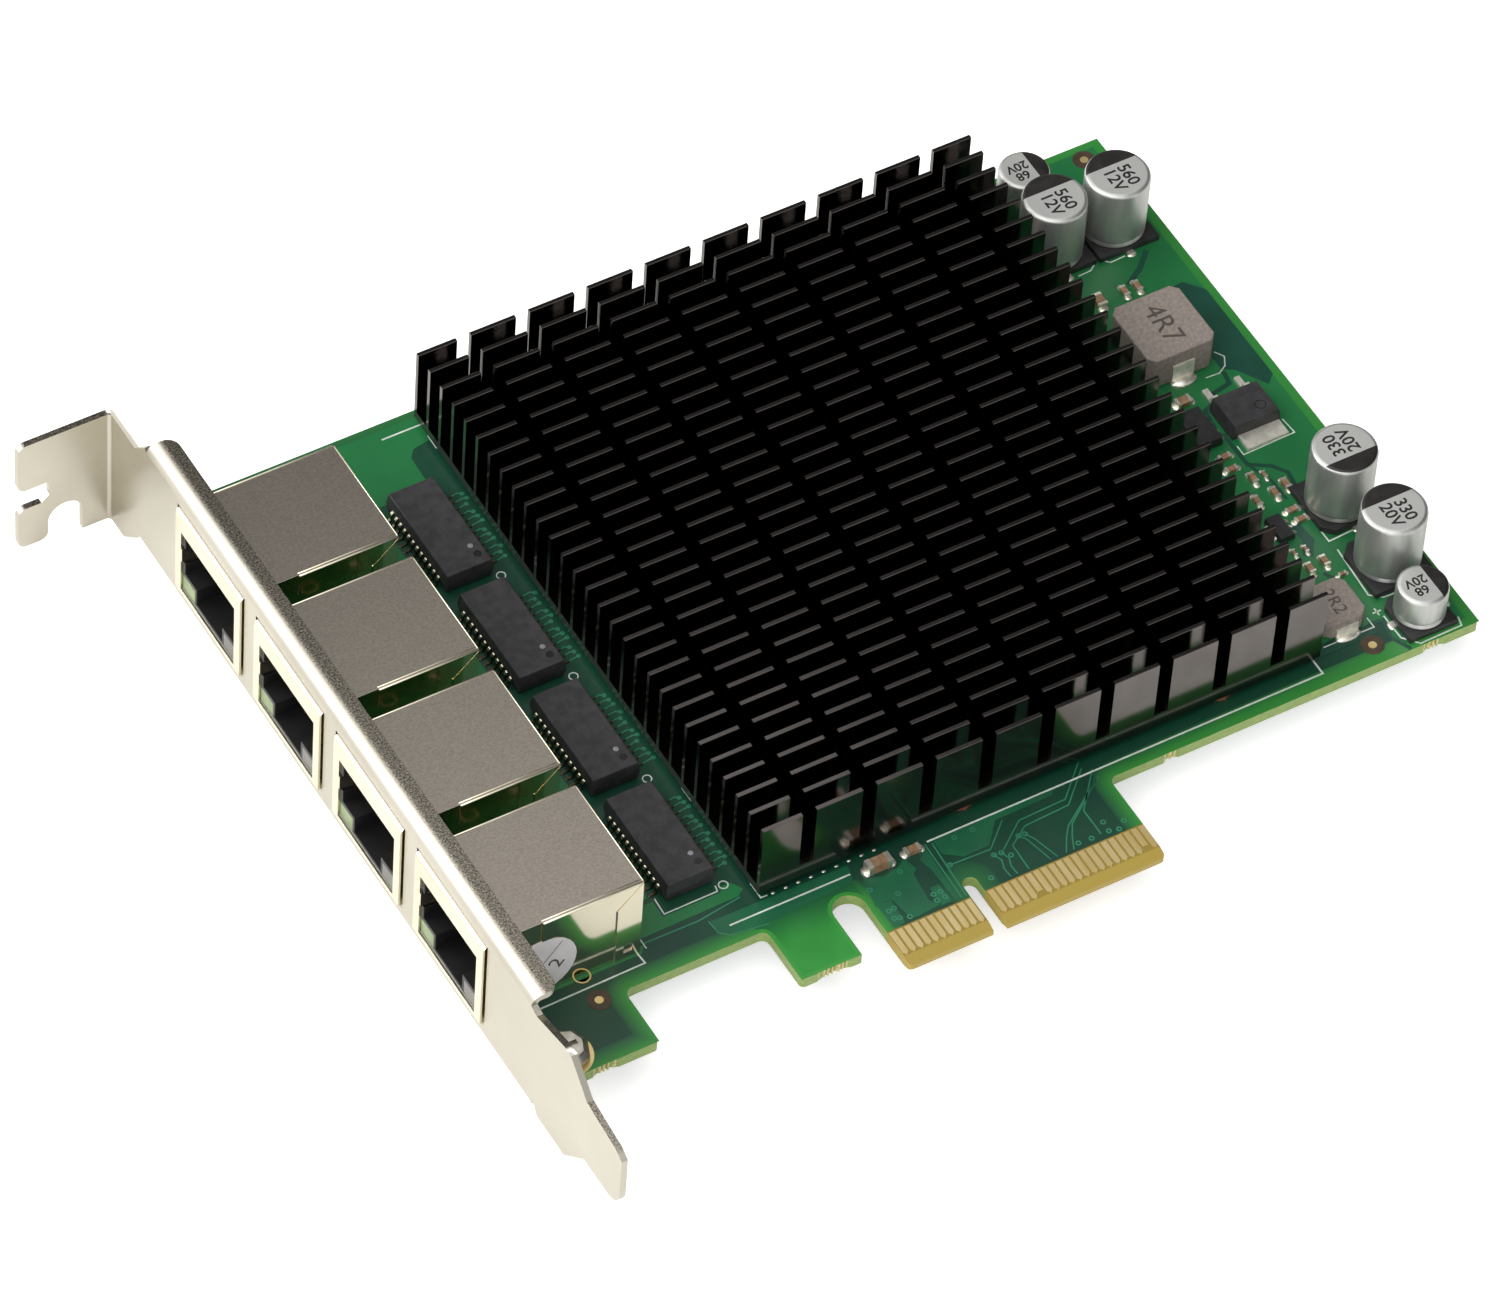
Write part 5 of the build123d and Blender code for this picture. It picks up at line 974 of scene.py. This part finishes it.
# Fired ceramic, ground and unglazed: a matte nougat brown. Its grains, finer than 0.01 mm, are
# drawn at 0.2 mm.
ceramic, tree, shader = finish("sintered_ceramic", Roughness=0.5, IOR=1.6)
mottle(tree, shader, 0.6, "#7c5f45", "#98795a")
grain(tree, shader, 0.2, 0.008)
bodies, caps, fillets = bmesh.new(), bmesh.new(), bmesh.new()
for x, y, length, width, height, lengthwise in CHIPS:
    for low, high, bm, ease in ((-0.5, -0.3, caps, 0), (-0.3, 0.3, bodies, BODY_EASE),
                                (0.3, 0.5, caps, 0)):
        near, far, half = low * length, high * length, width / 2 - ease
        corners = [on_part(*corner, lengthwise)
                   for corner in ((near, -half), (far, -half), (far, half), (near, half))]
        prism(bm, [(x + u, y + v) for u, v in corners], PART_BOTTOM_Z, height - ease)
    reach = (0.32 + length * 0.08, width * 0.62)
    for end in (-1, 1):
        u, v = on_part(end * (length / 2 + 0.12), 0, lengthwise)
        dome(fillets, x + u, y + v, 0, *(reach if lengthwise else reach[::-1]), height * 0.38)
piece("chip_part_bodies", bodies, ceramic, "chip_ceramic", "chip_capacitors")
piece("chip_part_caps", caps, solder, "tinned_leads")
piece("chip_part_solder", fillets, solder, "tinned_leads")

# Sticker: a round label punched from white paper, pressed on the side of the lowest jack by hand,
# so that its printed line and plain figures stand askew.
# Uncoated paper gives the eye a flat, faintly violet white.
paper, tree, shader = finish("white_paper_label", Roughness=0.6, IOR=1.45)
mottle(tree, shader, 3, "#cfcdd0", "#dcdadc")
dress(paper, "sticker_paper", "inspection_sticker")
STICKER_FACE_Y, STICKER_CENTRE, STICKER_TURN = 15.735, (-51.0, 4.95), 51
RULE_HALF_LENGTH, RULE_HALF_WIDTH, RULE_LIFT = 4.3, 0.06, 0.002
FIGURE_SIZE = 2.9


def on_side(x, z, turn):
    """A place on the sticker's face, which looks down the card, turned by degrees."""
    return (Matrix.Translation((x * MM, STICKER_FACE_Y * MM, z * MM))
            @ Matrix.Rotation(math.radians(90), 4, "X")
            @ Matrix.Rotation(math.radians(turn), 4, "Z"))


bm = bmesh.new()
prism(bm, [(-RULE_HALF_LENGTH, -RULE_HALF_WIDTH), (RULE_HALF_LENGTH, -RULE_HALF_WIDTH),
           (RULE_HALF_LENGTH, RULE_HALF_WIDTH), (-RULE_HALF_LENGTH, RULE_HALF_WIDTH)],
      -RULE_LIFT, RULE_LIFT)
bmesh.ops.transform(bm, matrix=on_side(*STICKER_CENTRE, STICKER_TURN), verts=bm.verts)
piece("sticker_rule", bm, grey_ink, "sticker_paper")
for figure, x, z in (("4", -52.6, 6.4), ("2", -48.9, 4.6)):
    lettering("sticker_figure_" + figure, [figure], FIGURE_SIZE, grey_ink, "sticker_paper",
              on_side(x, z, STICKER_TURN))

# Bench, lamps and camera: a pale bench, a broad lamp overhead and one at the left, a room that is
# bright like a window toward the left and dim elsewhere, and a long lens that looks down on the
# card from the bracket's side.
FLOOR_Z, FLOOR_GAP, BENCH_HALF = -6.41, 0.05, 3.0
DIRECT_GLOW, MIRRORED_GLOW = 0.55, 0.1
WINDOW_LEVEL, ROOM_LEVEL, WINDOW_SPAN_X = 1.8, 0.11, (-0.4, 0.15)
FRONT_LEVEL, FRONT_SPAN_Y = 0.8, (-0.8, -0.45)
floor_mesh = bpy.data.meshes.new("bench")
bm = bmesh.new()
for u, v in ((-1, -1), (1, -1), (1, 1), (-1, 1)):
    bm.verts.new((u * BENCH_HALF, v * BENCH_HALF, (FLOOR_Z - FLOOR_GAP) * MM))
bm.faces.new(bm.verts)
bm.to_mesh(floor_mesh)
bm.free()
bench = bpy.data.objects.new("bench", floor_mesh)
bpy.context.scene.collection.objects.link(bench)
# Matte white board: it takes the card's soft shadow and glows just enough to look white.
white, tree, shader = finish("white_bench", Roughness=0.9)
shader.inputs["Base Color"].default_value = linear("#f4f3f0")
path = add(tree, "LightPath").outputs
mirrored = add(tree, "Math", {0: path["Is Glossy Ray"], 1: path["Is Transmission Ray"]},
               operation="MAXIMUM")
direct = add(tree, "Math", {0: path["Is Camera Ray"], 1: DIRECT_GLOW}, operation="MULTIPLY")
glow = add(tree, "Math", {0: mirrored.outputs[0], 1: MIRRORED_GLOW, 2: direct.outputs[0]},
           operation="MULTIPLY_ADD")
shader.inputs["Emission Color"].default_value = linear("#ffffff")
tree.links.new(glow.outputs[0], shader.inputs["Emission Strength"])
floor_mesh.materials.append(white)
world = bpy.data.worlds.new("soft_room")
bpy.context.scene.world = world
world.use_nodes = True
tree = world.node_tree
path = add(tree, "LightPath").outputs
sky = tree.nodes["Background"]
sky.inputs["Color"].default_value = linear("#ffffff")
toward = add(tree, "SeparateXYZ", {0: add(tree, "TexCoord").outputs["Generated"]}).outputs
window = add(tree, "MapRange", {0: toward[0], 1: WINDOW_SPAN_X[0], 2: WINDOW_SPAN_X[1],
                                3: WINDOW_LEVEL, 4: ROOM_LEVEL})
front = add(tree, "MapRange", {0: toward[1], 1: FRONT_SPAN_Y[0], 2: FRONT_SPAN_Y[1],
                               3: FRONT_LEVEL, 4: 0.0})
room = add(tree, "Math", {0: window.outputs[0], 1: front.outputs[0]}, operation="MAXIMUM")
level = add(tree, "Math", {0: room.outputs[0], 1: path["Is Camera Ray"]}, operation="MAXIMUM")
tree.links.new(level.outputs[0], sky.inputs["Strength"])


def lamp(name, spot, aim, size, power):
    """A soft rectangular lamp that faces a point."""
    light = bpy.data.lights.new(name, "AREA")
    light.shape = "RECTANGLE"
    light.size, light.size_y = size
    light.energy = power
    made = bpy.data.objects.new(name, light)
    bpy.context.scene.collection.objects.link(made)
    made.location = spot
    made.rotation_euler = (Vector(aim) - Vector(spot)).to_track_quat("-Z", "Y").to_euler()


lamp("overhead_lamp", spot=(-0.145, 0.018, 0.39), aim=(-0.145, 0.018, 0), size=(0.63, 0.56),
     power=0.95)
lamp("left_lamp", spot=(-1.0, 0.65, 0.55), aim=(0, 0.045, 0), size=(0.7, 0.7), power=6)
CAMERA_SPOT = (-409.60, -563.91, 879.94)
CAMERA_ROWS = [(0.86463864, -0.49991493, 0.04985057), (-0.35717044, -0.68145087, -0.63879104),
               (0.35331189, 0.53451827, -0.76776359)]
lens = bpy.data.cameras.new("camera")
lens.lens = 238.61
lens.sensor_width = 36
lens.shift_x = 0.00018
lens.shift_y = -0.0046
lens.clip_start = 0.05
camera = bpy.data.objects.new("camera", lens)
bpy.context.scene.collection.objects.link(camera)
right, down, forward = CAMERA_ROWS
camera.matrix_world = Matrix([(right[k], -down[k], -forward[k], CAMERA_SPOT[k] * MM)
                              for k in range(3)] + [(0, 0, 0, 1)])
bpy.context.scene.camera = camera
bpy.context.scene.view_settings.view_transform = "Standard"
